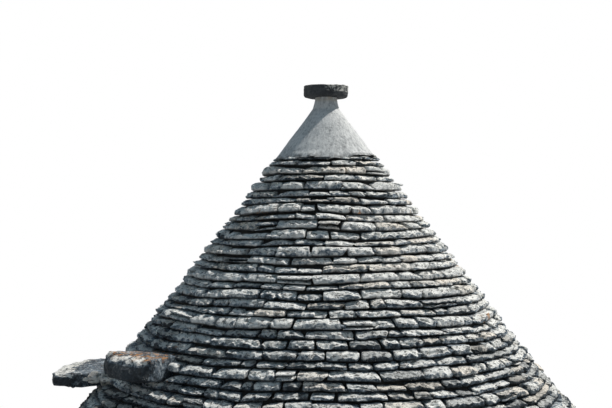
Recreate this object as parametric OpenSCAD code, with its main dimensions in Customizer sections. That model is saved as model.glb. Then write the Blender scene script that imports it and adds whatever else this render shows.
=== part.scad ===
// Trullo: a square dry-stone house under one corbelled cone of limestone slabs.
// The origin is on the ground at the middle of the plan, +Z is up and the doorway faces -Y.

/* [Walls] */
// Outer width of the square wall plan
plan_w = 5200; // [4900:10:5800]
// Thickness of the walls
wall_t = 850; // [780:10:950]
// Height of the walls from the ground to the eaves
wall_h = 2300; // [2000:10:2700]
// Radius of the outer wall corners
wall_corner_r = 260; // [100:10:400]
// Thickness of the floor paving
floor_t = 120; // [80:5:130]

/* [Doorway] */
// Width of the arched recess in front of the door
recess_w = 1100; // [1000:10:1180]
// Depth of the arched recess from the outer wall face
recess_d = 500; // [400:10:560]
// Height of the wall above the arch ring
over_arch_h = 110; // [60:10:200]
// Depth of the arch stones, from the soffit outwards
voussoir_t = 190; // [140:5:210]
// Number of arch stones
voussoir_count = 9; // [7:2:13]
// Open joint between the arch stones, at the soffit
voussoir_joint = 1.6; // [1:0.2:1.8]
// Width of the wall stone beside the recess
pier_w = 260; // [240:10:340]
// Width of the rectangular doorway behind the recess
door_w = 900; // [820:10:960]
// Height of the wall above the door's lintel
over_lintel_h = 250; // [200:10:340]
// Height of the stone lintel
lintel_h = 200; // [150:10:250]
// Height of the threshold stone above the ground
threshold_h = 160; // [140:5:200]
// Face width of the timber door frame's members
frame_w = 60; // [50:5:80]
// Depth of the timber door frame
frame_d = 70; // [60:5:90]
// Thickness of the boards of each door leaf
leaf_t = 45; // [35:1:55]
// Gap between a leaf and the threshold or the frame's head
leaf_gap = 6; // [4:1:12]
// Height of the ledges across the back of each leaf
leaf_ledge_h = 110; // [80:5:140]
// Thickness of those ledges
leaf_ledge_t = 25; // [18:1:30]

/* [Windows] */
// Width of each window hole
window_w = 460; // [400:10:560]
// Height of each window hole
window_h = 560; // [480:10:620]
// Height of the window sill above the ground
sill_z = 1150; // [1050:10:1200]
// Distance of the window frame from the outer wall face
window_set = 160; // [120:10:220]
// Face width of the window frame's members
sash_w = 45; // [35:5:60]
// Depth of the window frame
sash_d = 55; // [45:5:70]
// Width of the window's glazing bars
bar_w = 24; // [18:1:32]
// Thickness of the window glass
glass_t = 6; // [4:1:8]
// Height of the stone sill and the stone lintel
surround_h = 120; // [90:10:150]
// Length of the sill and the lintel past each side of the hole
surround_past = 120; // [80:10:160]
// Depth of the sill and the lintel in the wall
surround_d = 320; // [290:10:380]
// Projection of the sill in front of the wall
sill_out = 45; // [20:5:80]

/* [Roof cover] */
// Overhang of the eaves slabs past the wall
eaves_out = 150; // [100:10:180]
// Thickness of the eaves slabs
eaves_t = 90; // [70:5:110]
// Distance of the roof's foot inside the outer wall face
foot_inset = 80; // [60:10:120]
// Height of the slab courses above the eaves slabs
cone_h = 2670; // [2500:10:2800]
// Radius of the roof's slope at the foot of the plastered tip
cone_top_r = 460; // [440:5:520]
// Share by which the slope eases out towards the foot
flare = 0.06; // [0:0.01:0.12]
// Mean height of one course of slabs
course_h = 69; // [60:1:80]
// Share by which the courses differ in height
course_vary = 0.2; // [0:0.01:0.3]
// Lean of a course's outer face from its foot to its top
face_batter = 12; // [4:1:20]
// Fall of each slab's top towards the outside
ledge_fall = 9; // [3:1:14]
// Horizontal depth of the covering slabs
cover_d = 350; // [300:10:380]
// Corner radius of the lowest, nearly square course
foot_corner_r = 420; // [300:10:600]
// Number of courses over which the square turns into a circle
square_courses = 9; // [7:1:9]

/* [Step slabs] */
// Number of courses below the lower step slab
lower_step_base_courses = 10; // [9:1:10]
// Number of courses that the lower slab takes the place of
lower_step_courses = 2; // [1:1:2]
// Reach of the lower slab past the slope
lower_step_reach = 470; // [300:10:560]
// Width of the lower slab
lower_step_w = 950; // [700:10:1000]
// Direction of the lower slab, anticlockwise from +X
lower_step_angle = 182; // [170:1:188]
// Number of courses below the upper step slab
upper_step_base_courses = 13; // [12:1:13]
// Number of courses that the upper slab takes the place of
upper_step_courses = 3; // [2:1:3]
// Reach of the upper slab past the slope
upper_step_reach = 300; // [200:10:400]
// Width of the upper slab
upper_step_w = 640; // [560:10:860]
// Direction of the upper slab, anticlockwise from +X
upper_step_angle = 218; // [206:1:226]
// Length of each slab that is built into the covering
step_built_in = 240; // [180:10:260]

/* [Vault] */
// Horizontal thickness of the vault's shell at its springing and its eye
vault_t = 300; // [250:10:320]
// Height of the roof between the keystone and the plastered tip
crown_cover = 630; // [560:10:750]
// Number of corbelled rings in the vault
ring_count = 16; // [14:1:18]
// Number of segments in each band of rings
segment_count = 16; // [12:1:18]
// Open joint between the segments, at the foot of the vault
segment_joint = 4; // [3:0.5:6]
// Radius of the eye that the keystone closes
eye_r = 250; // [200:10:300]
// Thickness of the keystone
keystone_t = 130; // [100:10:160]
// Bearing of the keystone on the topmost ring
keystone_seat = 150; // [100:10:200]
// Number of corbelled layers in each corner of the room
squinch_layers = 4; // [3:1:5]
// Height of one corner layer
squinch_h = 120; // [90:10:130]

/* [Pinnacle] */
// Height of the plastered tip, up to the disc
tip_h = 549; // [500:1:600]
// Radius of the plaster at its foot
tip_foot_r = 452; // [430:1:460]
// Radius of the neck under the disc
neck_r = 100; // [80:1:115]
// Height of the slender neck
neck_h = 104; // [80:1:140]
// Depth of the neck's hollow curve
neck_waist = 3; // [0:0.5:5]
// Radius at which the neck meets the plastered cone
neck_foot_r = 124; // [120:1:150]
// Radius of the stone disc
disc_r = 203; // [180:1:240]
// Thickness of the stone disc
disc_t = 130; // [100:1:160]
// Rounding of the disc's rims
disc_round = 22; // [10:1:40]

/* [Hidden] */
$fn = 96;

// Colours
limewash = "#e6e3da";
grey_stone = "#8f8c84";
pale_stone = "#c9c4b6";
rubble = "#6f6b62";
plaster = "#d9d6cf";
dark_stone = "#3d3e3c";
timber = "#5a4632";
clear_glass = "#a9c4cc";

// Plan
half = plan_w / 2;
room_half = half - wall_t;
recess_half = recess_w / 2;
pier_half = recess_half + pier_w;
door_half = door_w / 2;
frame_half = door_half - frame_w;
recess_back_y = -half + recess_d;
front_room_y = -room_half;
spring_h = wall_h - over_arch_h - voussoir_t - recess_half;
door_h = wall_h - over_lintel_h - lintel_h;
// Places of a leaf's ledges, as shares of its height
ledge_places = [0.14, 0.5, 0.86];
window_half = window_w / 2;
window_top = sill_z + window_h;
// Length by which a cutting shape runs past the face that it opens
cut = 10;

// Levels and radii of the roof
roof_z = wall_h + eaves_t;
tip_z = roof_z + cone_h;
foot_r = half - foot_inset;
bed_foot_r = foot_r - cover_d;
bed_top_r = cone_top_r - cover_d;
course_count = round(cone_h / course_h);
lower_end = round(course_count * 0.5);
middle_end = round(course_count * 0.77);
// Turn in degrees from one course's height to the next one's in the wave that varies them
height_turn = 137.5;

// Levels and radii of the vault
vault_top = tip_z - crown_cover - keystone_t;
vault_h = vault_top - wall_h;
keystone_r = eye_r + keystone_seat;
lower_rings = 6;
middle_rings = 11;

function course_share(i) = 1 + course_vary * sin(height_turn * i);
function course_sum(i) = i <= 0 ? 0 : course_sum(i - 1) + course_share(i - 1);
whole_sum = course_sum(course_count);
// Height of the foot of course i, and radius of the slope there
function level(i) = roof_z + round(cone_h * course_sum(i) / whole_sum);
function slope_r(z) =
    let (down = (tip_z - z) / cone_h)
    cone_top_r + (foot_r - cone_top_r) * ((1 - flare) * down + flare * down * down);
function course_r(i) = slope_r(level(i));
// Radius of the bed that the covering slabs lie on
function bed_r(z) = bed_top_r + (bed_foot_r - bed_top_r) * (tip_z - z) / cone_h;
// Corner radius of shoulder course i, which grows with a slow start and a slow end
function ease(x) = x * x * (3 - 2 * x);
function shoulder_corner_r(i) =
    foot_corner_r + (course_r(i) - foot_corner_r) * ease((i + 1) / (square_courses + 1));
// Foot, inner radius and outer radius of vault ring j
function ring_z(j) = wall_h + vault_h * j / ring_count;
function ring_r(j) = room_half - (room_half - eye_r) * j / (ring_count - 1);
function vault_back_r(j) = vault_t + room_half - (room_half - eye_r) * j / ring_count;

// A block from its lowest corner to its highest one
module block(low, high) {
    translate(low) cube(high - low);
}

// A square of half width a with corners of radius c
module rounded_square(a, c) {
    square([2 * a, 2 * (a - c)], center = true);
    square([2 * (a - c), 2 * a], center = true);
    for (x = [-1, 1], y = [-1, 1])
        translate([x * (a - c), y * (a - c)]) circle(r = c);
}

// The right-hand form of a piece, or its mirror image for the left
module on_side(side) {
    mirror([side > 0 ? 0 : 1, 0, 0]) children();
}

// Walls and floor

module wall_body() {
    linear_extrude(wall_h) rounded_square(half, wall_corner_r);
}

module floor_paving() {
    color(pale_stone) block([-room_half, -room_half, 0], [room_half, room_half, floor_t]);
}

// The threshold stone lies in the doorway and runs out to the front of the recess
module threshold() {
    color(pale_stone) {
        block([-door_half, recess_back_y, 0], [door_half, front_room_y, threshold_h]);
        block([-recess_half, -half, 0], [recess_half, recess_back_y, threshold_h]);
    }
}

module front_wall(side) {
    color(limewash) on_side(side) intersection() {
        wall_body();
        block([pier_half, -half, 0], [half, front_room_y, wall_h]);
    }
}

module front_wall_left() { front_wall(-1); }

module front_wall_right() { front_wall(1); }

module front_wall_over_door() {
    color(limewash) {
        difference() {
            block([-pier_half, -half, spring_h], [pier_half, recess_back_y, wall_h]);
            translate([0, -half - cut, spring_h]) rotate([-90, 0, 0])
                cylinder(r = recess_half + voussoir_t, h = recess_d + 2 * cut);
        }
        block([-pier_half, recess_back_y, door_h + lintel_h], [pier_half, front_room_y, wall_h]);
    }
}

module side_wall(side) {
    color(limewash) on_side(side) difference() {
        block([room_half, -room_half, 0], [half, room_half, wall_h]);
        block([room_half - cut, -window_half, sill_z], [half + cut, window_half, window_top]);
        sill_block(cut);
        window_lintel_block(cut);
    }
}

module left_wall() { side_wall(-1); }

module right_wall() { side_wall(1); }

module back_wall() {
    color(limewash) intersection() {
        wall_body();
        block([-half, room_half, 0], [half, half, wall_h]);
    }
}

// Doorway

module door_pier(side) {
    color(pale_stone) on_side(side) block([recess_half, -half, 0], [pier_half, recess_back_y, spring_h]);
}

module door_pier_left() { door_pier(-1); }

module door_pier_right() { door_pier(1); }

module door_jamb(side) {
    color(pale_stone) on_side(side)
        block([door_half, recess_back_y, 0], [pier_half, front_room_y, door_h]);
}

module door_jamb_left() { door_jamb(-1); }

module door_jamb_right() { door_jamb(1); }

// A ring of wedge-shaped stones, each between two radial joints, on the two piers
module door_arch() {
    joint_turn = voussoir_joint / recess_half * 180 / PI;
    stone_turn = (180 + joint_turn) / voussoir_count;
    color(pale_stone)
        translate([0, -half, spring_h]) rotate([-90, 0, 0])
            for (i = [0:voussoir_count - 1])
                rotate([0, 0, 180 + i * stone_turn])
                    rotate_extrude(angle = stone_turn - joint_turn)
                        translate([recess_half, 0]) square([voussoir_t, recess_d]);
}

module door_lintel() {
    color(pale_stone)
        block([-pier_half, recess_back_y, door_h], [pier_half, front_room_y, door_h + lintel_h]);
}

module door_frame() {
    color(timber) difference() {
        block([-door_half, recess_back_y, threshold_h], [door_half, recess_back_y + frame_d, door_h]);
        block([-frame_half, recess_back_y - cut, threshold_h - cut],
            [frame_half, recess_back_y + frame_d + cut, door_h - frame_w]);
    }
}

// A boarded leaf with three ledges, which stands open into the room
module door_leaf(side) {
    leaf_w = frame_half - leaf_gap / 2;
    low = threshold_h + leaf_gap;
    high = door_h - frame_w - leaf_gap;
    hinge_y = recess_back_y + frame_d;
    color(timber) on_side(side) {
        block([frame_half, hinge_y, low], [frame_half + leaf_t, hinge_y + leaf_w, high]);
        for (place = ledge_places)
            translate([frame_half - leaf_ledge_t, hinge_y, low + place * (high - low) - leaf_ledge_h / 2])
                cube([leaf_ledge_t, leaf_w - leaf_ledge_t, leaf_ledge_h]);
    }
}

module door_leaf_left() { door_leaf(-1); }

module door_leaf_right() { door_leaf(1); }

// Windows, drawn on the right and mirrored to the left

module sill_block(out) {
    block([half - surround_d, -window_half - surround_past, sill_z - surround_h],
        [half + out, window_half + surround_past, sill_z]);
}

module window_lintel_block(out) {
    block([half - surround_d, -window_half - surround_past, window_top],
        [half + out, window_half + surround_past, window_top + surround_h]);
}

module window_pane() {
    x = half - window_set - (sash_d + glass_t) / 2;
    block([x, sash_w - window_half, sill_z + sash_w], [x + glass_t, window_half - sash_w, window_top - sash_w]);
}

// A fixed frame with one upright and one level bar on each side of the pane
module window_frame() {
    x = half - window_set - sash_d;
    middle_z = sill_z + window_h / 2;
    difference() {
        block([x, -window_half, sill_z], [x + sash_d, window_half, window_top]);
        block([x - cut, sash_w - window_half, sill_z + sash_w],
            [x + sash_d + cut, window_half - sash_w, window_top - sash_w]);
    }
    difference() {
        union() {
            block([x, -bar_w / 2, sill_z + sash_w], [x + sash_d, bar_w / 2, window_top - sash_w]);
            block([x, sash_w - window_half, middle_z - bar_w / 2],
                [x + sash_d, window_half - sash_w, middle_z + bar_w / 2]);
        }
        window_pane();
    }
}

module left_window_frame() { color(timber) on_side(-1) window_frame(); }

module right_window_frame() { color(timber) on_side(1) window_frame(); }

module left_window_glass() { color(clear_glass) on_side(-1) window_pane(); }

module right_window_glass() { color(clear_glass) on_side(1) window_pane(); }

module left_window_sill() { color(pale_stone) on_side(-1) sill_block(sill_out); }

module right_window_sill() { color(pale_stone) on_side(1) sill_block(sill_out); }

module left_window_lintel() { color(pale_stone) on_side(-1) window_lintel_block(0); }

module right_window_lintel() { color(pale_stone) on_side(1) window_lintel_block(0); }

// Vault

// Slabs laid across a corner, each further out, until a regular octagon is left for the vault
module squinch(turn) {
    longest = room_half * (2 - sqrt(2));
    color(pale_stone) rotate([0, 0, turn])
        for (k = [1:squinch_layers])
            translate([room_half, room_half, wall_h - (squinch_layers + 1 - k) * squinch_h])
                linear_extrude(squinch_h)
                    polygon([[0, 0], [-longest * k / squinch_layers, 0], [0, -longest * k / squinch_layers]]);
}

module back_right_squinch() { squinch(0); }

module back_left_squinch() { squinch(90); }

module front_left_squinch() { squinch(180); }

module front_right_squinch() { squinch(270); }

// Rings first to last - 1, stepped inside and smooth behind, in wedge-shaped segments
module vault_band(first, last, shift) {
    steps = [for (j = [first:last - 1], top = [0, 1]) [ring_r(j), ring_z(j + top)]];
    back = [[vault_back_r(last), ring_z(last)], [vault_back_r(first), ring_z(first)]];
    segment_turn = 360 / segment_count;
    joint_turn = segment_joint / room_half * 180 / PI;
    color(pale_stone) for (k = [0:segment_count - 1])
        rotate([0, 0, (k + shift) * segment_turn + joint_turn / 2])
            rotate_extrude(angle = segment_turn - joint_turn) polygon(concat(steps, back));
}

module vault_lower() { vault_band(0, lower_rings, 0); }

module vault_middle() { vault_band(lower_rings, middle_rings, 0.5); }

module vault_upper() { vault_band(middle_rings, ring_count, 0); }

module vault_keystone() {
    color(pale_stone) translate([0, 0, vault_top]) cylinder(r = keystone_r, h = keystone_t);
}

// Rubble packed between the vault and the bed of the covering slabs
module rubble_fill() {
    keystone_z = vault_top + keystone_t;
    color(rubble) rotate_extrude() polygon([
        [vault_back_r(0), wall_h], [bed_foot_r, wall_h], [bed_foot_r, roof_z], [bed_top_r, tip_z], [0, tip_z],
        [0, keystone_z], [keystone_r, keystone_z], [keystone_r, vault_top], [vault_back_r(ring_count), vault_top]
    ]);
}

// Roof cover

// Everything inside the covering slabs, for cutting them to their depth
module slab_bed() {
    rotate_extrude() polygon([
        [0, wall_h - cut], [bed_foot_r, wall_h - cut], [bed_foot_r, roof_z], [bed_top_r, tip_z], [0, tip_z]
    ]);
}

module eaves_slabs() {
    color(grey_stone) difference() {
        translate([0, 0, wall_h]) linear_extrude(eaves_t)
            rounded_square(half + eaves_out, wall_corner_r + eaves_out);
        slab_bed();
    }
}

// Courses that turn from a rounded square into a circle
module shoulder_courses() {
    color(grey_stone) difference() {
        for (i = [0:square_courses - 1])
            translate([0, 0, level(i)]) linear_extrude(level(i + 1) - level(i))
                rounded_square(course_r(i), shoulder_corner_r(i));
        slab_bed();
    }
}

// Round courses first to last - 1, each a leaning face under a ledge that sheds the rain
module cone_courses(first, last) {
    faces = [for (i = [first:last - 1], top = [0, 1])
        [course_r(i) - top * face_batter, level(i + top) - top * ledge_fall]];
    back = [[course_r(last), level(last)], [bed_r(level(last)), level(last)], [bed_r(level(first)), level(first)]];
    color(grey_stone) rotate_extrude() polygon(concat(faces, back));
}

module cone_courses_lower() {
    difference() {
        cone_courses(square_courses, lower_end);
        lower_step_slab();
        upper_step_slab();
    }
}

module cone_courses_middle() { cone_courses(lower_end, middle_end); }

module cone_courses_upper() { cone_courses(middle_end, course_count); }

// A rough slab in place of some courses, with its tail in the covering and its nose towards +X
module step_slab(first, courses, reach, width) {
    face = course_r(first);
    tail = face - step_built_in;
    nose = face + reach;
    color(grey_stone) translate([0, 0, level(first)]) linear_extrude(level(first + courses) - level(first))
        polygon([
            [tail, -width * 0.34], [face, -width * 0.42], [face + reach * 0.35, -width * 0.5],
            [nose - reach * 0.2, -width * 0.44], [nose - reach * 0.03, -width * 0.18], [nose, width * 0.2],
            [nose - reach * 0.14, width * 0.42], [face + reach * 0.45, width * 0.5], [face, width * 0.42],
            [tail, width * 0.34]
        ]);
}

module lower_step_slab() {
    rotate([0, 0, lower_step_angle])
        step_slab(lower_step_base_courses, lower_step_courses, lower_step_reach, lower_step_w);
}

module upper_step_slab() {
    rotate([0, 0, upper_step_angle])
        step_slab(upper_step_base_courses, upper_step_courses, upper_step_reach, upper_step_w);
}

// Pinnacle

module plaster_tip() {
    middle_r = (neck_foot_r + neck_r) / 2 - neck_waist;
    color(plaster) translate([0, 0, tip_z]) rotate_extrude() polygon([
        [0, 0], [tip_foot_r, 0], [neck_foot_r, tip_h - neck_h], [middle_r, tip_h - neck_h / 2],
        [neck_r, tip_h], [0, tip_h]
    ]);
}

module pinnacle_disc() {
    color(dark_stone) translate([0, 0, tip_z + tip_h]) rotate_extrude() {
        square([disc_r - disc_round, disc_t]);
        translate([0, disc_round]) square([disc_r, disc_t - 2 * disc_round]);
        for (z = [disc_round, disc_t - disc_round])
            translate([disc_r - disc_round, z]) circle(r = disc_round);
    }
}

floor_paving();
threshold();
front_wall_left();
front_wall_right();
front_wall_over_door();
door_pier_left();
door_pier_right();
door_jamb_left();
door_jamb_right();
door_arch();
door_lintel();
door_frame();
door_leaf_left();
door_leaf_right();
left_wall();
right_wall();
back_wall();
left_window_frame();
left_window_glass();
left_window_sill();
left_window_lintel();
right_window_frame();
right_window_glass();
right_window_sill();
right_window_lintel();
front_left_squinch();
front_right_squinch();
back_left_squinch();
back_right_squinch();
vault_lower();
vault_middle();
vault_upper();
vault_keystone();
rubble_fill();
eaves_slabs();
shoulder_courses();
cone_courses_lower();
cone_courses_middle();
cone_courses_upper();
lower_step_slab();
upper_step_slab();
plaster_tip();
pinnacle_disc();
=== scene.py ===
import functools
import math
from types import SimpleNamespace

import bpy
import numpy as np
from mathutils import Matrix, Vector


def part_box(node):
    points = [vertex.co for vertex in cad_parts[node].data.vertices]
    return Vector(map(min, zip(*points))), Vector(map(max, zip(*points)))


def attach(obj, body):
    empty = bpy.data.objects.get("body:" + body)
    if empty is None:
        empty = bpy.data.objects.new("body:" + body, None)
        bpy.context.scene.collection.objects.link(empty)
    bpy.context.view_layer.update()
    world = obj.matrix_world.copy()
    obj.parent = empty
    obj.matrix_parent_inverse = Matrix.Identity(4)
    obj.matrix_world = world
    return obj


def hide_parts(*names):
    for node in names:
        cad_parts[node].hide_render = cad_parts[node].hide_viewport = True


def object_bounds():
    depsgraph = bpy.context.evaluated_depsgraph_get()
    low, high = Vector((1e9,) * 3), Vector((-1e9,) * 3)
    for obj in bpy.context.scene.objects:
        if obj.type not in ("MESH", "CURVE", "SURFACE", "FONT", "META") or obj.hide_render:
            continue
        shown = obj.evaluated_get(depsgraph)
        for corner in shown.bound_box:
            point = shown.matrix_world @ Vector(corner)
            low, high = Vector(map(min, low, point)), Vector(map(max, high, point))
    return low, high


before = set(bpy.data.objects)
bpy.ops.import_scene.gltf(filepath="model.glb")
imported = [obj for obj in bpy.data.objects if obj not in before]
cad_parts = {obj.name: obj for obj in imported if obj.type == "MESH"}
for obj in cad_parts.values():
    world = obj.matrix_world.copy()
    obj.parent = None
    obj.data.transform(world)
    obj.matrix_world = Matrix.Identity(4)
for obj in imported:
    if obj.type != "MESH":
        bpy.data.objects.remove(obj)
cad_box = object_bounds()


# Noise

def lattice(ix, iy, iz, seed):
    """A fixed value from -1 to 1 for each point of a whole-number lattice."""
    mix = ix * 374761393 + iy * 668265263 + iz * 1440662683 + seed * 974634777
    mix = (mix ^ (mix >> 13)) * 1274126177
    return ((mix ^ (mix >> 16)) & 0xFFFF) / 32767.5 - 1


def noise(points, frequency, seed=0):
    """Smooth noise from about -1 to 1 at points in metres, with frequency per metre for each axis."""
    scaled = points * frequency + 71.3
    cell = np.floor(scaled).astype(np.int64)
    part = scaled - cell
    smooth = part * part * (3 - 2 * part)
    total = 0
    for corner in np.ndindex(2, 2, 2):
        weight = np.prod(np.where(corner, smooth, 1 - smooth), axis=-1)
        total = total + weight * lattice(*np.moveaxis(cell + corner, -1, 0), seed)
    return total


def layered_noise(points, frequency, layers, seed):
    """Noise at several frequencies, each twice the last at half its strength."""
    return sum(noise(points, frequency * 2 ** k, seed + 17 * k) * 0.5 ** k for k in range(layers))


def noises(points, seed, *parts):
    """A sum of noise from pairs of strength and frequency, with seeds counted on from the first."""
    return sum(strength * noise(points, frequency, seed + k) for k, (strength, frequency) in enumerate(parts))


def cell_gap(points, cell_size, seed):
    """How much further the second nearest of scattered stone centres is than the nearest, in cells."""
    scaled = points / cell_size
    home = np.floor(scaled).astype(np.int64)
    nearest = second = np.full(len(points), 9.0)
    for step in np.ndindex(3, 3, 3):
        cell = home + step - 1
        spot = np.stack([lattice(*cell.T, seed + k) for k in range(3)], axis=1) * 0.42 + 0.5
        distance = np.linalg.norm(cell + spot - scaled, axis=1)
        second = np.minimum(second, np.maximum(nearest, distance))
        nearest = np.minimum(nearest, distance)
    return second - nearest


def ease(value, low, high):
    """0 on the low side, 1 on the high side and a smooth rise between them."""
    part = np.clip((value - low) / (high - low), 0, 1)
    return part * part * (3 - 2 * part)


# Meshes

@functools.lru_cache(maxsize=None)
def box_grid(nx, ny, nz, plain_back=False):
    """A block's closed surface as grid places, face corners and face sizes. An unseen back is one face."""
    counts = nx, ny, nz
    grid = [(i, j, k) for i, j, k in np.ndindex(nx + 1, ny + 1, nz + 1)
            if i in (0, nx) or k in (0, nz) or j == ny or (j == 0 and not plain_back)]
    index = {place: number for number, place in enumerate(grid)}
    faces = []
    for axis, far in np.ndindex(3, 2):
        if plain_back and axis == 1 and not far:
            continue
        u, v = (axis + 1) % 3, (axis + 2) % 3
        for a, b in np.ndindex(counts[u], counts[v]):
            corners = []
            for da, db in ((0, 0), (1, 0), (1, 1), (0, 1)):
                place = [far * counts[axis]] * 3
                place[u], place[v] = a + da, b + db
                corners.append(index[tuple(place)])
            faces.append(corners if far else corners[::-1])
    if plain_back:
        rim = ([(i, 0, 0) for i in range(nx)] + [(nx, 0, k) for k in range(nz)]
               + [(i, 0, nz) for i in range(nx, 0, -1)] + [(0, 0, k) for k in range(nz, 0, -1)])
        faces.append([index[place] for place in rim])
    return np.array(grid), np.concatenate(faces), np.array([len(face) for face in faces])


def add_object(name, data):
    """A new object of the scene."""
    made = bpy.data.objects.new(name, data)
    bpy.context.scene.collection.objects.link(made)
    return made


class Heap:
    """Points, faces and point values of many small forms that together become one piece."""

    def __init__(self):
        self.points, self.loops, self.sizes, self.values, self.count = [], [], [], {}, 0

    def add(self, points, loops, sizes, flip=False, **values):
        """Takes in a form's n x 3 points, or its copies as copies x n x 3, and values of the points."""
        copies = points.reshape(-1, *points.shape[-2:])
        offsets = self.count + np.arange(len(copies)) * copies.shape[1]
        order = -1 if flip else 1
        self.loops.append((loops[None, :] + offsets[:, None]).ravel()[::order])
        self.sizes.append(np.tile(sizes, len(copies))[::order])
        self.points.append(copies.reshape(-1, 3))
        for key, value in values.items():
            self.values.setdefault(key, []).append(np.broadcast_to(value, copies.shape[:2]).ravel())
        self.count += copies.shape[0] * copies.shape[1]

    def piece(self, name, look, *replaced):
        """Makes the heap one mesh object. Its look is a material, a slot, which is not used, and the angle of
        its sharp edges.
        """
        material, slot, sharp = look
        mesh = bpy.data.meshes.new(name)
        points = np.clip(np.concatenate(self.points), cad_box[0], cad_box[1])
        loops, sizes = np.concatenate(self.loops), np.concatenate(self.sizes)
        mesh.vertices.add(len(points))
        mesh.vertices.foreach_set("co", points.astype(np.float32).ravel())
        mesh.loops.add(len(loops))
        mesh.loops.foreach_set("vertex_index", loops.astype(np.int32))
        mesh.polygons.add(len(sizes))
        mesh.polygons.foreach_set("loop_start", (np.cumsum(sizes) - sizes).astype(np.int32))
        mesh.polygons.foreach_set("use_smooth", np.ones(len(sizes), bool))
        mesh.update(calc_edges=True)
        mesh.set_sharp_from_angle(angle=math.radians(sharp))
        for key, values in self.values.items():
            layer = mesh.attributes.new(key, "FLOAT", "POINT")
            layer.data.foreach_set("value", np.concatenate(values).astype(np.float32))
        mesh.materials.append(material)
        made = add_object(name, mesh)
        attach(made, "root")
        if replaced:
            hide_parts(*replaced)


def rounded(points, size, rounding):
    """The core point under each point of a block with round edges, and the way out from it."""
    core = np.clip(points, rounding, size - rounding)
    lean = points - core
    return core, lean / np.maximum(np.linalg.norm(lean, axis=-1, keepdims=True), 1e-9)


def rough_block(box, cell, rounding, roughness, seed, least=3):
    """A worn stone between two corners: its points, face corners, face sizes and the wear of each point."""
    low, high = np.array(box, float)
    size = high - low
    counts = [int(np.clip(round(length / cell), least, 48)) for length in size]
    grid, loops, sizes = box_grid(*counts)
    lines = [np.concatenate([[0], np.linspace(rounding, length - rounding, count - 1), [length]])
             for length, count in zip(size, counts)]
    points = np.stack([line[grid[:, axis]] for axis, line in enumerate(lines)], axis=1)
    core, way = rounded(points, size, rounding)
    where = points + seed * 3.7
    relief = layered_noise(where, 7, 4, seed) * roughness
    chip = ease(noise(where, 16, seed + 5), 0.25, 0.9) * rounding * 0.7
    wear = (np.sum(np.abs(way) > 1e-6, axis=1) > 1).astype(float)
    points = core + way * (rounding + (relief - roughness - chip * wear)[:, None])
    return points + low, loops, sizes, wear


def band(lower, upper, columns):
    """Face corners between two closed rings of points, given by the number of their first point."""
    here = np.arange(columns)
    ahead = np.roll(here, -1)
    return np.column_stack([lower + here, lower + ahead, upper + ahead, upper + here]).ravel()


def turned(profile, columns):
    """A closed round form through (radius, height) pairs: its points, face corners and face sizes."""
    angle = np.arange(columns) / columns * 2 * math.pi
    rings = [np.column_stack([radius * np.cos(angle), radius * np.sin(angle), np.full(columns, height)])
             for radius, height in profile]
    middles = [[0, 0, profile[0][1]], [0, 0, profile[-1][1]]]
    here = np.arange(columns)
    ahead = np.roll(here, -1)
    last = (len(profile) - 1) * columns
    foot = np.column_stack([here * 0 + last + columns, ahead, here]).ravel()
    head = np.column_stack([here * 0 + last + columns + 1, last + here, last + ahead]).ravel()
    bands = [band(base, base + columns, columns) for base in range(0, last, columns)]
    sizes = np.concatenate([np.full(columns, 3), np.full(last, 4), np.full(columns, 3)])
    return np.concatenate(rings + [middles]), np.concatenate([foot, *bands, head]), sizes


# Materials

class Value:
    """What a shader node gives, to reckon with like a plain number or a vector."""

    def __init__(self, shader, socket):
        self.shader, self.socket = shader, socket

    def math(self, operation, other):
        kind = "Math" if self.socket.type == "VALUE" else "VectorMath"
        return self.shader.node(kind, 0, {0: self, 1: other}, operation=operation)

    def __add__(self, other):
        return self.math("ADD", other)

    def __sub__(self, other):
        return self.math("SUBTRACT", other)

    def __mul__(self, other):
        return self.math("MULTIPLY", other)

    def rise(self, low, high, start=0, end=1):
        """A smooth rise from start to end while the value goes from low to high."""
        return self.shader.node("MapRange", 0, {0: self, 1: low, 2: high, 3: start, 4: end},
                                interpolation_type="SMOOTHSTEP")

    def ramp(self, *stops):
        """A colour for the value, from stops of (place, colour)."""
        made = self.shader.node("ValToRGB", 0, {0: self})
        elements = made.socket.node.color_ramp.elements
        while len(elements) < len(stops):
            elements.new(0.5)
        for element, (place, colour) in zip(elements, stops):
            element.position, element.color = place, (*colour, 1)
        return made


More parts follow.
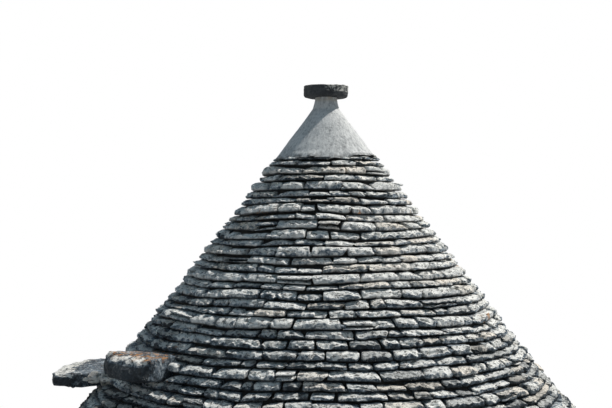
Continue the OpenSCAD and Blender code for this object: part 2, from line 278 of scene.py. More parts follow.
class Shader:
    """The nodes of a material or world under construction."""

    def __init__(self, owner):
        owner.use_nodes = True
        self.owner, self.tree = owner, owner.node_tree
        self.tree.nodes.clear()

    def node(self, kind, output, inputs, **settings):
        """One output of a new node, with values for its inputs."""
        made = self.tree.nodes.new("ShaderNode" + kind)
        for key, value in settings.items():
            setattr(made, key, value)
        for key, value in inputs.items():
            socket = made.inputs[key]
            if isinstance(value, Value):
                self.tree.links.new(value.socket, socket)
            else:
                socket.default_value = (*value, 1) if socket.type == "RGBA" else value
        return Value(self, made.outputs[output])

    def place(self):
        """The point's place in the house's frame, in metres."""
        return self.node("TexCoord", "Object", {})

    def value(self, name):
        """A value kept with the mesh."""
        return self.node("Attribute", "Fac", {}, attribute_name=name)

    def vector(self, x, y, z=0):
        return self.node("CombineXYZ", 0, {0: x, 1: y, 2: z})

    def noise(self, vector, scale, detail=4, roughness=0.55, distortion=0):
        return self.node("TexNoise", "Fac", {"Vector": vector, "Scale": scale, "Detail": detail,
                                             "Roughness": roughness, "Distortion": distortion})

    def noise_vector(self, vector, scale):
        return self.node("TexNoise", "Color", {"Vector": vector, "Scale": scale})

    def cells(self, vector, scale, feature="F1", output="Distance"):
        return self.node("TexVoronoi", output, {"Vector": vector, "Scale": scale}, feature=feature)

    def mix(self, share, first, second, blend="MIX"):
        """A colour between the first and the second."""
        return self.node("Mix", 2, {0: share, 6: first, 7: second}, data_type="RGBA", blend_type=blend)

    def bump(self, height, strength, distance):
        return self.node("Bump", 0, {"Height": height, "Strength": strength, "Distance": distance})

    def straight_rays(self):
        """1 for what the camera sees, also through glass or in a shine, and 0 for light on things."""
        camera, shine, through = (self.node("LightPath", f"Is {kind} Ray", {})
                                  for kind in ("Camera", "Glossy", "Transmission"))
        return camera.math("MAXIMUM", shine.math("MAXIMUM", through))

    def finish(self, surface, kind="Material"):
        """Ends the nodes with a shader and hands back the material or world."""
        self.tree.links.new(surface.socket, self.tree.nodes.new("ShaderNodeOutput" + kind).inputs["Surface"])
        return self.owner

    def solid(self, colour, roughness, normal, specular=0.25, **more):
        """Ends the material with a solid surface."""
        inputs = {"Base Color": colour, "Roughness": roughness, "Normal": normal,
                  "Specular IOR Level": specular, **more}
        return self.finish(self.node("BsdfPrincipled", 0, inputs))


def new_material(name):
    return Shader(bpy.data.materials.new(name))


def roof_stone_material():
    """Weathered limestone slabs: slate-grey faces, dark crust, pale pitted broken edges, a little lichen. The
    pale broken edges are partly painted sunlight and the dark faces partly painted shade.
    """
    s = new_material("weathered_roof_limestone")
    tone, warm, wear = s.value("tone"), s.value("warm"), s.value("wear")
    place = s.place() + s.vector(tone * 9, warm * 7)
    broad = s.noise(place, 7, 5, 0.6)
    grain = s.noise(place, 36, 10, 0.64, 0.4)
    layers = s.noise(place * (14, 14, 60), 1, 6, 0.7)
    pits = s.noise(place * (34, 34, 66), 1, 6, 0.7, 0.7).rise(0.41, 0.46, 1, 0)
    # The upper sides lie in the sun, and their treads are painted lighter: a painted highlight of that sun
    lift = tone * 0.11 + broad * 0.45 + grain * 0.62 + s.value("tread") * 0.075
    face = lift.ramp((0.42, (0.036, 0.046, 0.056)), (0.49, (0.128, 0.166, 0.2)), (0.56, (0.35, 0.392, 0.425)),
                     (0.62, (0.88, 0.87, 0.83)))
    broken = (lift * 0.5 + layers * 0.5).ramp((0.4, (0.46, 0.45, 0.415)), (0.455, (0.9, 0.88, 0.82)),
                                              (0.5, (0.99, 0.97, 0.91)))
    # Stones of a dark tone are grimy on their broken edges too
    broken = s.mix(tone.rise(-1.8, -0.2, 0.6, 0), broken, (0.3, 0.32, 0.33))
    # Pits are painted near black: painted shade in small hollows that only the bump shapes
    broken = s.mix(pits * 0.85, broken, (0.055, 0.056, 0.057))
    # Broken edges, which face up to the sun, are painted near white and the upright faces dark blue-grey:
    # partly the stone's own fresh breaks and weathered faces, partly painted sunlight and painted shade
    chipped = (wear + (grain - 0.5) * 2.6).rise(0.34, 0.52)
    colour = s.mix(chipped, face, broken)
    colour = s.mix(warm.rise(0.45, 1, 0, 0.45), colour, (1, 0.85, 0.7), "MULTIPLY")
    crust = s.noise(place, 13, 9, 0.74, 0.5).rise(0.55, 0.63)
    colour = s.mix(crust * chipped.rise(0, 1, 0.65, 0.3), colour, (0.05, 0.054, 0.058))
    # The foot of each slab is painted dark: painted shade on the lower part of its face, together with damp
    colour = s.mix(wear.rise(-0.5, -0.05, 0.8, 0), colour, (0.03, 0.034, 0.038))
    specks = s.cells(place, 85).rise(0.14, 0.24, 1, 0) * s.noise(place, 9, 3).rise(0.52, 0.62)
    colour = s.mix(specks * 0.8, colour, (0.7, 0.69, 0.64))
    # Orange lichen in a few zones of the roof and where a piece asks for it
    zone = s.noise(s.place(), 2.1, 3, 0.6).rise(0.655, 0.7).math("MAXIMUM", s.value("lichen"))
    lichen = s.noise(place, 21, 7, 0.72).rise(0.52, 0.57) * zone
    colour = s.mix(lichen * 0.9, colour, (0.56, 0.27, 0.1))
    # Split faces are flatter than the broken edges
    height = (grain * 0.9 + pits * -0.3 + layers * 0.7) * chipped.rise(0, 1, 0.5, 0.65)
    return s.solid(colour, grain.rise(0.3, 0.7, 0.82, 0.96), s.bump(height, 1, 0.035))


def limewash_material():
    """Old limewash on rough stone: brushed layers, flaked spots, damp foot, streaks and hair cracks."""
    s = new_material("old_limewash")
    place = s.place()
    middle = s.noise(place, 9, 6, 0.65, 0.3)
    fine = s.noise(place, 55, 6, 0.7)
    brush = s.noise(place * (18, 18, 5), 4, 4, 0.6)
    colour = s.noise(place, 1.7, 5, 0.6).ramp((0.35, (0.7, 0.685, 0.63)), (0.55, (0.8, 0.785, 0.735)),
                                                (0.7, (0.84, 0.83, 0.79)))
    colour = s.mix(middle.rise(0.5, 0.68) * 0.3, colour, (0.5, 0.475, 0.41))
    # Flaked places show the stone, more on the stones' swell and near the ground
    height = s.node("SeparateXYZ", "Z", {0: place})
    foot = (height + middle * -0.5).rise(-0.2, 0.38, 1, 0)
    flaking = s.noise(place, 3.4, 7, 0.72) + foot * 0.1 + s.value("swell") * 0.02
    flaked = flaking.rise(0.655, 0.675)
    stone = s.noise(place, 30, 8, 0.7).ramp((0.35, (0.22, 0.2, 0.165)), (0.65, (0.52, 0.475, 0.39)))
    colour = s.mix(flaked, colour, stone)
    colour = s.mix(foot * 0.42, colour, (0.3, 0.27, 0.21))
    streaks = s.noise(place * (7, 7, 0.5), 1, 5, 0.6).rise(0.52, 0.68)
    colour = s.mix(streaks * height.rise(1.2, 2.3) * 0.35, colour, (0.36, 0.35, 0.31))
    crack = s.cells(place + s.noise_vector(place, 5), 1.5, "DISTANCE_TO_EDGE").rise(0, 0.004, 1, 0)
    crack = crack * s.noise(place, 0.9, 2).rise(0.5, 0.6)
    colour = s.mix(crack * 0.6, colour, (0.2, 0.19, 0.17))
    relief = middle * 0.8 + fine * 0.25 + brush * 0.3 - (flaked * 0.22 + crack * 0.3)
    return s.solid(colour, fine.rise(0.3, 0.7, 0.78, 0.94), s.bump(relief, 0.9, 0.012))


def pale_stone_material():
    """Split and dressed limestone: warm pale faces, grey weathering, tool marks and worn edges."""
    s = new_material("pale_split_limestone")
    tone, warm = s.value("tone"), s.value("warm")
    place = s.place() + s.vector(tone * 11, warm * 5)
    grain = s.noise(place, 38, 9, 0.7)
    pits = s.cells(place, 90).rise(0.05, 0.4)
    marks = s.noise(place * (60, 60, 14), 1, 3, 0.6, 0.4)
    lift = s.noise(place, 4, 5, 0.6) * 0.55 + grain * 0.45 + tone * 0.1 + s.value("wear") * 0.03
    colour = lift.ramp((0.3, (0.1, 0.09, 0.075)), (0.44, (0.4, 0.365, 0.3)), (0.54, (0.58, 0.54, 0.46)),
                       (0.68, (0.72, 0.69, 0.61)))
    colour = s.mix(warm.rise(-0.2, 1, 0, 0.5), colour, (0.97, 0.87, 0.7), "MULTIPLY")
    weathered = s.noise(place, 7, 8, 0.72, 0.4).rise(0.52, 0.64, 0, 0.55)
    colour = s.mix(weathered, colour, (0.19, 0.185, 0.17))
    height = grain * 0.6 + pits * 0.15 + marks * 0.45
    return s.solid(colour, grain.rise(0.3, 0.7, 0.72, 0.92), s.bump(height, 0.9, 0.012))


def masonry_material(name, pale, dark, scale):
    """Corbelled rough stones with thin limewash: rounded faces in dark joints, laid flat."""
    s = new_material(name)
    place = s.place()
    laid = (place + s.noise_vector(place, 3) * (0.07, 0.07, 0.03)) * (scale, scale, scale * 2.5)
    edge = s.cells(laid, 1, "DISTANCE_TO_EDGE")
    own = s.node("SeparateXYZ", "X", {0: s.cells(laid, 1, "F1", "Color")})
    grain = s.noise(place, 32, 8, 0.7)
    colour = (grain * 0.7 + own * 0.3).ramp((0.32, dark), (0.58, pale))
    colour = s.mix(edge.rise(0.02, 0.11, 1, 0) * 0.85, colour, (0.055, 0.05, 0.042))
    return s.solid(colour, 0.9, s.bump(edge.rise(0.02, 0.3) + grain * 0.35, 1, 0.022))


def plaster_material():
    """Old trowelled lime plaster: grey-white, with fine vertical streaks, scuffs and a stained foot."""
    s = new_material("weathered_plaster")
    place = s.place()
    streaks = s.noise(place * (48, 48, 3), 1, 6, 0.7)
    grain = s.noise(place, 70, 8, 0.72)
    scuffs = s.noise(place * (16, 16, 9), 1, 9, 0.75, 0.6)
    lift = streaks * 0.5 + s.noise(place, 4.5, 6, 0.65) * 0.3 + grain * 0.2
    colour = lift.ramp((0.39, (0.31, 0.31, 0.305)), (0.46, (0.55, 0.55, 0.535)), (0.53, (0.72, 0.715, 0.69)),
                       (0.64, (0.8, 0.79, 0.755)))
    stain = s.value("foot") * s.noise(place, 22, 7, 0.7).rise(0.4, 0.56)
    mortar = s.value("neck") * s.noise(place, 18, 5, 0.7).rise(0.42, 0.55)
    spots = s.cells(place, 60).rise(0.1, 0.2, 1, 0) * s.noise(place, 12, 3).rise(0.56, 0.66)
    for share, cover in ((scuffs.rise(0.55, 0.64, 0, 0.5), (0.27, 0.275, 0.275)), (stain * 0.85, (0.1,) * 3),
                         (mortar * 0.8, (0.52, 0.47, 0.38)), (spots * 0.7, (0.13,) * 3)):
        colour = s.mix(share, colour, cover)
    height = grain * 0.5 + streaks * 0.5 + scuffs * -0.35
    return s.solid(colour, grain.rise(0.3, 0.7, 0.8, 0.95), s.bump(height, 0.8, 0.01))


def dark_stone_material():
    """The pinnacle stone: almost black with lichen, with pale spots where its right rim is broken, partly
    painted sunlight on that side.
    """
    s = new_material("lichen_dark_stone")
    place = s.place()
    grain = s.noise(place, 48, 9, 0.74)
    lift = s.noise(place, 9, 6, 0.65) * 0.5 + grain * 0.5
    colour = lift.ramp((0.38, (0.016, 0.018, 0.021)), (0.52, (0.042, 0.046, 0.05)),
                       (0.68, (0.105, 0.108, 0.105)))
    # Pale spots on the broken right rim: partly paler broken stone, partly painted sunlight
    spots = s.noise(place, 44, 7, 0.76, 0.5).rise(0.49, 0.53) * s.value("pale").rise(0.1, 0.6)
    colour = s.mix(spots * 0.9, colour, (0.62, 0.6, 0.54))
    beds = s.noise(place * (6, 6, 70), 1, 4, 0.6).rise(0.6, 0.68)
    colour = s.mix(beds * 0.35, colour, (0.22, 0.215, 0.2))
    return s.solid(colour, grain.rise(0.3, 0.7, 0.72, 0.92), s.bump(grain, 0.8, 0.012), 0.3)


def timber_material():
    """Weathered brown boards with open grain."""
    s = new_material("weathered_timber")
    along, across, board = s.value("along"), s.value("across"), s.value("board")
    own = s.vector(along, across, board * 3.1)
    wavy = s.noise(own * (2.5, 14, 1), 1, 3)
    rings = s.noise(s.vector(along * 1.6, across * 75 + wavy * 4, board), 1, 6, 0.62)
    pores = s.noise(own * (9, 420, 1), 1, 5, 0.7)
    colour = rings.ramp((0.32, (0.045, 0.026, 0.014)), (0.5, (0.135, 0.082, 0.046)),
                        (0.68, (0.23, 0.155, 0.095)))
    grey = s.noise(own * (1.2, 7, 1), 1, 5, 0.6).rise(0.45, 0.68, 0, 0.55)
    colour = s.mix(grey, colour, (0.24, 0.215, 0.18))
    cracks = s.noise(own * (2, 130, 1), 1, 3, 0.6).rise(0.64, 0.7)
    colour = s.mix(cracks * 0.8, colour, (0.02, 0.014, 0.01))
    height = rings * 0.5 + pores * 0.35 - cracks * 0.5
    return s.solid(colour, pores.rise(0.3, 0.7, 0.55, 0.8), s.bump(height, 0.7, 0.004), 0.35)


def iron_material():
    """Forged iron with brown rust."""
    s = new_material("rusted_iron")
    rust = s.noise(s.place(), 70, 8, 0.7)
    colour = rust.ramp((0.38, (0.035, 0.032, 0.031)), (0.52, (0.085, 0.045, 0.026)),
                       (0.66, (0.19, 0.085, 0.04)))
    return s.solid(colour, rust.rise(0.35, 0.65, 0.5, 0.85), s.bump(rust, 0.6, 0.003), 0.5,
                   Metallic=rust.rise(0.42, 0.5, 0.8, 0.1))


def glass_material():
    """Thin clear window glass with a film of dust."""
    s = new_material("dusty_window_glass")
    dust = s.noise(s.place(), 14, 6, 0.65)
    clear = s.node("BsdfPrincipled", 0, {"Base Color": (0.8, 0.86, 0.87), "Roughness": 0.06, "IOR": 1.45,
                                         "Transmission Weight": 1})
    film = s.node("BsdfDiffuse", 0, {"Color": dust.ramp((0.3, (0.33, 0.32, 0.29)), (0.7, (0.46, 0.44, 0.4)))})
    return s.finish(s.node("MixShader", 0, {0: dust.rise(0.35, 0.75, 0.1, 0.42), 1: clear, 2: film}))


def bedding_material():
    """Dark small stones and earth in the gaps, painted near black: partly their own colour, partly painted
    shade in the deep gaps.
    """
    s = new_material("bedding_with_painted_gap_shade")
    crumbs = s.noise(s.place(), 60, 6, 0.7)
    # The near-black colour is partly painted shade deep in the gaps
    colour = crumbs.ramp((0.3, (0.02, 0.019, 0.018)), (0.7, (0.075, 0.07, 0.062)))
    return s.solid(colour, 0.95, s.bump(crumbs, 0.8, 0.01))


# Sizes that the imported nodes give

def span(node):
    """Lowest and highest corner of a CAD node, in metres."""
    return np.array(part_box(node))


def node_points(node):
    """The points of a CAD node's mesh, in metres, to a tenth of a millimetre."""
    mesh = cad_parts[node].data
    points = np.empty(len(mesh.vertices) * 3, np.float32)
    mesh.vertices.foreach_get("co", points)
    return points.reshape(-1, 3).astype(float).round(4)


def reach_at(points, z):
    """How far the points at one level reach along X."""
    return np.abs(points[points[:, 2] == z, 0]).max()


def outer_levels(points):
    """The heights at which the outer face of a roof band has points, from the foot up."""
    kept, reach = [], 0
    for z in sorted(set(points[:, 2]), reverse=True):
        if reach_at(points, z) >= reach:
            kept, reach = [z] + kept, reach_at(points, z)
    return kept


def outline_of(points):
    """Half width and corner radius of the rounded square through level points round the axis."""
    half = np.abs(points[:, 0]).max()
    on_side = np.abs(points[:, 0]) > half - 1e-3
    return half, half - np.abs(points[on_side, 1]).max()


def square_courses(points, levels):
    """(foot, half width, corner radius) of each course of stacked rounded squares."""
    found = []
    for foot, top in zip(levels, levels[1:]):
        at_foot, at_top = ({tuple(p[:2]) for p in points if p[2] == z} for z in (foot, top))
        found.append((foot, *outline_of(np.array(sorted(at_foot & at_top)))))
    return found


def round_courses(points, levels, ledge=0.012):
    """(foot, radius, radius) of each course of leaning faces, each of which starts over a ledge."""
    feet = levels[:1] + [z for under, z, over in zip(levels, levels[1:], levels[2:])
                         if z - under < ledge < over - z]
    return [(z, reach_at(points, z), reach_at(points, z)) for z in feet]


# How far the plaster runs down over the last course
PLASTER_SKIRT = 0.026


def read_courses():
    """Every roof course from the shoulder up, as (node, foot, half width, corner radius, top)."""
    listed = []
    for node in ("shoulder_courses", "cone_courses_lower", "cone_courses_middle", "cone_courses_upper"):
        points = node_points(node)
        levels = outer_levels(points)
        found = (square_courses if node == "shoulder_courses" else round_courses)(points, levels)
        last_top = levels[-1] - (PLASTER_SKIRT if node == "cone_courses_upper" else 0)
        tops = [course[0] for course in found[1:]] + [last_top]
        listed += [(node, *course, top) for course, top in zip(found, tops)]
    return listed


courses = read_courses()


# Roof stones

STONE_LENGTHS = (0.15, 0.4)
JOINT_GAPS = (0.013, 0.029)
BED_GAPS = (0.002, 0.014)
STONE_DEPTH = 0.16
# How far a slab's upper front edge is broken back
BITES = (0.024, 0.06)
# The height of a course from which slabs are dressed
THICK_COURSE = 0.078
# Shares of the places in a course that have a dressed slab, are split flat or across, or have a pin in the
# joint beside them
DRESSED, SPLIT_FLAT, SPLIT_ACROSS, PINNED = 0.75, 0.07, 0.12, 0.24
# The least height of a place that is split flat, and the least length of one that is split across
FLAT_SPLIT_HEIGHT, ACROSS_SPLIT_LENGTH = 0.062, 0.22
# How far upright joints keep from those of the course below
JOINT_SHIFT = 0.035
# Stones shorter than this are pins with a plain grid
PIN_LENGTH = 0.06
# The level about which the stones turn from darker below to paler above
TONE_TURN_LEVEL = 3.74
# How far the bed lines between courses wander up and down together, and the length over which they do
BED_WANDER = 0.024
BED_WANDER_LENGTH = 0.48
# Where the rows round a slab's ledge lie in a plain grid, and how far from the ledge's line they go
LEDGE_ROWS = (0.486, 0.616)
LEDGE_BELOW, LEDGE_ABOVE = 0.02, 0.12
# How much of a broken edge is a ledge at the most, where the rest is a slope
LEDGE_SHARE = 0.85
# How far a broken face stands out before it flattens
FLAT_RELIEF = 0.004
# How far behind a slab's face its wear and its relief end
FRONT_ZONE = 0.07
# Above this level the photo shows the roof from close by, and stones that face the front have finer grids
SEEN_CLOSE, FACES_FRONT = 2.93, 0.42
FINE_SHARE, COARSE_SHARE = 0.55, 1.3


def walk(along, half, corner):
    """Points and outward directions at distances round a rounded square, from the middle of its +X side."""
    side = 2 * (half - corner)
    turns, rest = np.divmod(along + side / 2, side + corner * math.pi / 2)
    angle = np.clip((rest - side) / corner, 0, math.pi / 2)
    x = half - corner + corner * np.cos(angle)
    y = corner - half + np.minimum(rest, side) + corner * np.sin(angle)
    turn = turns * math.pi / 2
    cos_turn, sin_turn = np.cos(turn), np.sin(turn)
    place = np.stack([x * cos_turn - y * sin_turn, x * sin_turn + y * cos_turn], axis=-1)
    return place, np.stack([np.cos(angle + turn), np.sin(angle + turn)], axis=-1)


def round_length(half, corner):
    """Length of the way round a rounded square."""
    return 8 * (half - corner) + 2 * math.pi * corner


def bed_line(number, share):
    """Height offset of the bed line under course number, at a share of the way round."""
    angle = 2 * math.pi * share
    reach = (2.6 - number * 0.055) / BED_WANDER_LENGTH
    spot = np.stack([np.cos(angle) * reach, np.sin(angle) * reach, number + 0 * angle], axis=-1)
    level = noises(spot, 31, (1, (0.8, 0.8, 0.3)), (0.35, (1.6, 1.6, 1.7)))
    return level * BED_WANDER * (0 < number < len(courses))


def stone(near, far, feet, tops, **more):
    """The numbers of one stone between two distances along a course. Pairs hold for its two ends."""
    usual = dict(depth=STONE_DEPTH, skew=(0, 0), drop=(0, 0), rough=1)
    return {**usual, "along": (near + far) / 2, "length": far - near, "feet": feet, "tops": tops, **more}


def between(pair, share):
    """What lies between the values of a pair."""
    return pair[..., 0] * (1 - share) + pair[..., 1] * share


def split_way(rng, length, joints_below=(), lengths=STONE_LENGTHS):
    """Places of upright joints along a course, kept off the joints of the course below."""
    places = [0]
    while places[-1] < length - lengths[1]:
        for _ in range(6):
            place = places[-1] + rng.uniform(*lengths) * rng.choice([0.8, 1, 1, 1.15])
            if not len(joints_below) or np.abs(joints_below - place / length).min() * length > JOINT_SHIFT:
                break
        places.append(place)
    if length - places[-1] < lengths[0] * 0.7:
        places.pop()
    return np.array(places + [length])


def split_stone(rng, near, far, low, high, thick):
    """A place of a course as one stone, or now and then as two flat or two short ones."""
    if rng.random() < SPLIT_FLAT and thick > FLAT_SPLIT_HEIGHT:
        middle = low + (high - low) * rng.uniform(0.35, 0.65)
        return [(near, far, low, middle - rng.uniform(0.001, 0.005, 2)), (near, far, middle, high)]
    if rng.random() < SPLIT_ACROSS and far - near > ACROSS_SPLIT_LENGTH:
        break_at = near + (far - near) * rng.uniform(0.35, 0.65)
        return [(near, break_at, low, high), (break_at + 0.006, far, low, high)]
    return [(near, far, low, high)]


def course_stones(rng, number, start, joints):
    """The stones of one course between joints counted on from start, with pins in some of the joints."""
    _, foot, half, corner, top = courses[number]
    whole = round_length(half, corner)
    height_tone = 0.9 * np.clip((foot - TONE_TURN_LEVEL) / 0.55, -1.5, 0.62)
    stones = []
    for left, right in zip(joints, joints[1:]):
        gap = rng.uniform(*JOINT_GAPS)
        near, far = start + left + gap / 2, start + right - gap / 2
        ends = np.array([near, far]) / whole
        low = foot + bed_line(number, ends) + rng.uniform(0, 0.004, 2)
        high = top + bed_line(number + 1, ends) - rng.uniform(*BED_GAPS, 2)
        dressed = top - foot > THICK_COURSE and rng.random() < DRESSED
        tone = height_tone + rng.normal(0.65 if dressed else -0.1, 0.3 if dressed else 0.5)
        shared = dict(half=half, corner=corner, warm=rng.uniform(-1, 1), rough=0.45 if dressed else 1)
        for a, b, base, cap in split_stone(rng, near, far, low, high, top - foot):
            cap = cap - (rng.random() < 0.2) * rng.uniform(0.004, 0.016)
            drops = rng.uniform(0, 0.1, 2) + (rng.random(2) < 0.16) * rng.uniform(0.12, 0.45, 2)
            stones.append(stone(a, b, base, cap, proud=np.clip(rng.normal(0, 0.0095), -0.018, 0.012),
                                tone=tone + rng.normal(0, 0.25), seed=rng.uniform(0, 900),
                                bite=rng.uniform(*BITES), skew=rng.normal(0, 0.008, 2), drop=drops, **shared))
        if rng.random() < PINNED:
            pin, room = rng.uniform(0.022, 0.05), high[1] - low[1]
            tall = rng.uniform(0.25, 0.6) * room
            base = low[1] + rng.random() * (room - tall)
            middle = far + gap / 2
            stones.append(stone(middle - pin / 2, middle + pin / 2, (base, base), (base + tall, base + tall),
                                proud=rng.uniform(-0.012, 0.002), depth=0.05, tone=rng.normal(0, 0.6),
                                seed=rng.uniform(0, 900), bite=0.004, **shared))
    return stones


def rounded_blocks(grid, length, depth, height):
    """Points of rounded blocks that share a grid, whose lines lie closest at the edges."""
    nx, _, nz = grid.max(axis=0)
    rounding = np.clip(np.minimum(height, length) * 0.2, 0.003, 0.011)
    inner_x = rounding + (length - 2 * rounding) * np.linspace(0, 1, nx - 1)
    inner_z = rounding + (height - 2 * rounding) * np.linspace(0, 1, nz - 1) ** 0.8
    lines = ([0 * rounding, inner_x, length], [0 * depth, depth * 0.6, depth - rounding, depth],
             [0 * rounding, inner_z, height])
    points = np.stack([np.concatenate(row, 1)[:, grid[:, axis]] for axis, row in enumerate(lines)], axis=-1)
    size = np.stack(np.broadcast_arrays(length, depth, height), axis=-1)
    core, way = rounded(points, size, rounding[..., None])
    return core + way * rounding[..., None]


def gather_rows(w, start):
    """Moves a grid's rows so that two of them lie at the foot and at the back of the ledge."""
    low, high = start - LEDGE_BELOW, start + LEDGE_ABOVE
    under, over = LEDGE_ROWS
    lower = w / under * low
    middle = low + (w - under) / (over - under) * (high - low)
    upper = high + (w - over) / (1 - over) * (1 - high)
    return np.where(w < under, lower, np.where(w < over, middle, upper))


def stone_points(grid, c):
    """Points in space, copies x n x 3, wear with painted shade on the lower faces, and the treads that get
    painted light, of slabs that share a grid, from their columns.
    """
    height = between(c.tops - c.feet, 0.5)
    points = rounded_blocks(grid, c.length, c.depth, height)
    x, y, z = np.moveaxis(points, -1, 0)
    ahead = c.depth - y
    s, w = x / c.length, z / height
    own = c.seed[..., None] * (1.31, 2.17, 0.73)
    spot = points + own
    front = ease(ahead, FRONT_ZONE, 0)
    # The upper front edge is broken back from a ragged line, by an amount that changes along the stone
    edge = spot * (1, 0, 0) + own
    chipping = np.clip(0.85 + 0.5 * noise(edge, 11, 3) + 0.38 * noise(edge, 36, 9), 0.2, 1.5)
    start = np.clip(0.46 + 0.32 * noise(edge, 14, 4) + 0.3 * noise(edge, 38, 8), 0.14, 0.84)
    w = gather_rows(w, start)
    ledge = ease(noise(own + (9, 0, 0), 1, 5) + c.rough, 0.3, 1.3) * LEDGE_SHARE
    above = np.clip((w - start) / (1 - start), 0, 1)
    step_back = np.clip((w - start + LEDGE_BELOW) / (LEDGE_BELOW + LEDGE_ABOVE), 0, 1)
    chip = np.minimum(c.bite, 0.75 * height) * chipping * (ledge * step_back + (1 - ledge) * above) * front
    under = 0.003 * ease(w, 0.2, -0.05) * front
    # The face stands out in the middle and falls back to the ends
    belly = 0.003 * (1 - (2 * w - 1) ** 2) * front
    to_end = np.minimum(s, 1 - s) * c.length
    ends = ease(to_end, 0.035, 0) * (0.003 + 0.008 * (noise(own + (5, 0, 0), 1, 6) + 1) / 2) * front
    corner_off = 0.022 * ease(noise(own + s.round()[..., None] * (3, 0, 0), 1, 7), 0.3, 0.9)
    ends += corner_off * ease(to_end, 0.045, 0) * ease(w, 0.25, 1) * front
    y = y + (0.006 + belly - chip - under - ends) + c.proud
    # Broken faces: broad lumps, steps along the layers of the rock, and a fine roughness
    relief = noises(spot, 11, (0.0085, (8, 9, 16)), (0.0125, (14, 30, 52)), (0.016, (34, 34, 44)))
    relief = np.where(relief > FLAT_RELIEF, FLAT_RELIEF + 0.3 * (relief - FLAT_RELIEF), relief)
    y = y + front * relief * np.maximum(c.rough, ease(chip, 0.002, 0.008))
    z = w * height + noises(spot, 14, (0.0035, 13), (0.002, 40)) * ease(height, 0.01, 0.05)
    notch = 0.009 * ease(noise(spot, (24, 9, 9), 18), 0, 0.9)
    z = z - (0.11 * np.clip(0.055 - ahead, 0, 0.055) + notch * front) * ease(w, 0.5, 1)
    # Many slabs thin out towards an end
    drop = c.drop[..., 0] * ease(x, 0.11, 0) + c.drop[..., 1] * ease(c.length - x, 0.11, 0)
    z = z - height * drop * w * ease(ahead, 0.12, 0.04)
    x = x + between(c.skew, s) * (2 * w - 1) + noises(spot, 16, (0.0045, 15), (0.0018, 48))
    low, high = between(c.feet, s), between(c.tops, s)
    off_centre = x - c.length / 2
    # Flat slabs on a curved way: the middle stays back and the ends come forward by part of the curve's depth
    bent, bent_ahead = (walk(c.along + step, c.half, c.corner)[1] for step in (0, 0.01))
    curve = np.linalg.norm(bent_ahead - bent, axis=-1) / 0.01
    y = y + 0.5 * curve * (off_centre ** 2 / 2 - c.length ** 2 / 24)
    place, out = walk(c.along + off_centre, c.half, c.corner)
    flat = place + out * (y - c.depth)[..., None]
    wear = ease(chip + ends * 0.2, 0.001, 0.008) * ease(ahead, 0.075, 0.03)
    # The lower part of the face gets a negative value: painted shade there, together with damp
    wear = wear - 0.6 * ease(w, 0.26, 0.02)
    # The tops of the slabs near the front: the mask for painted light on the treads
    tread = ease(w, 0.9, 1) * ease(ahead, 0.015, 0.05)
    return np.concatenate([flat, (low + (high - low) * z / height)[..., None]], axis=-1), wear, tread


def lay(stones, heap, cell=0.022, rows=7):
    """Puts all listed stones into a heap, in groups that share a grid."""
    c = {name: np.array([each[name] for each in stones]) for name in stones[0]}
    towards_front = -walk(c["along"], c["half"], c["corner"])[1][:, 1]
    cells = np.where(towards_front > FACES_FRONT, FINE_SHARE, 1)
    cells = np.where(c["feet"][:, 0] > SEEN_CLOSE, cells, COARSE_SHARE) * cell
    counts = np.clip(np.round(c["length"] / cells), 3, 34).astype(int)
    small = c["length"] < PIN_LENGTH
    for nx, is_small in sorted(set(zip(counts, small))):
        chosen = (counts == nx) & (small == is_small)
        grid, loops, sizes = box_grid(int(nx), 3, 3 if is_small else rows, True)
        group = SimpleNamespace(**{name: values[chosen, None] for name, values in c.items()})
        points, wear, tread = stone_points(grid, group)
        heap.add(points, loops, sizes, flip=True, wear=wear, tread=tread, tone=group.tone, warm=group.warm)


def facing(points):
    """The direction in which points lie from the axis, and their distances across it and out along it."""
    turn = math.atan2(points[:, 1].mean(), points[:, 0].mean())
    across = points[:, 1] * math.cos(turn) - points[:, 0] * math.sin(turn)
    return turn, across, points[:, 0] * math.cos(turn) + points[:, 1] * math.sin(turn)


def step_gaps(foot, half, top):
    """Where the step slabs stand in a course, as the ends of each one's place along the course."""
    gaps = []
    # How far a slab has to reach into the course, and from how far in front of the course its width counts
    overlap, margin = 0.02, 0.05
    for node in ("lower_step_slab", "upper_step_slab"):
        low, high = span(node)
        if low[2] <= top - overlap and high[2] >= foot + overlap:
            turn, across, out = facing(node_points(node))
            near = np.abs(across[out < half + margin]).max()
            middle = turn % (2 * math.pi) * half
            gaps.append((middle - near, middle + near))
    return gaps


def build_roof(look):
    """The roof's slabs as pieces that stand for the CAD bands of courses."""
    bands = {}
    joints_below = np.array([])
    for number, (node, foot, half, corner, top) in enumerate(courses):
        rng = np.random.default_rng(100 + number)
        whole = round_length(half, corner)
        start, length = rng.uniform(0, whole), whole
        gaps = step_gaps(foot, half, top)
        if gaps:
            start = max(end for _, end in gaps)
            length = (min(begin for begin, _ in gaps) - start) % whole
        below = np.sort((joints_below - start / whole) % 1) * whole / length
        joints = split_way(rng, length, below)
        bands.setdefault(node, []).append(course_stones(rng, number, start, joints))
        joints_below = ((start + joints) / whole) % 1
    for node, listed in bands.items():
        parts = 2 if node in ("shoulder_courses", "cone_courses_lower") else 1
        size = math.ceil(len(listed) / parts)
        for part in range(parts):
            heap = Heap()
            for stones in listed[part * size:(part + 1) * size]:
                lay(stones, heap)
            heap.piece(node.replace("courses", "stones") + (f"_{part + 1}" if parts > 1 else ""), look, node)


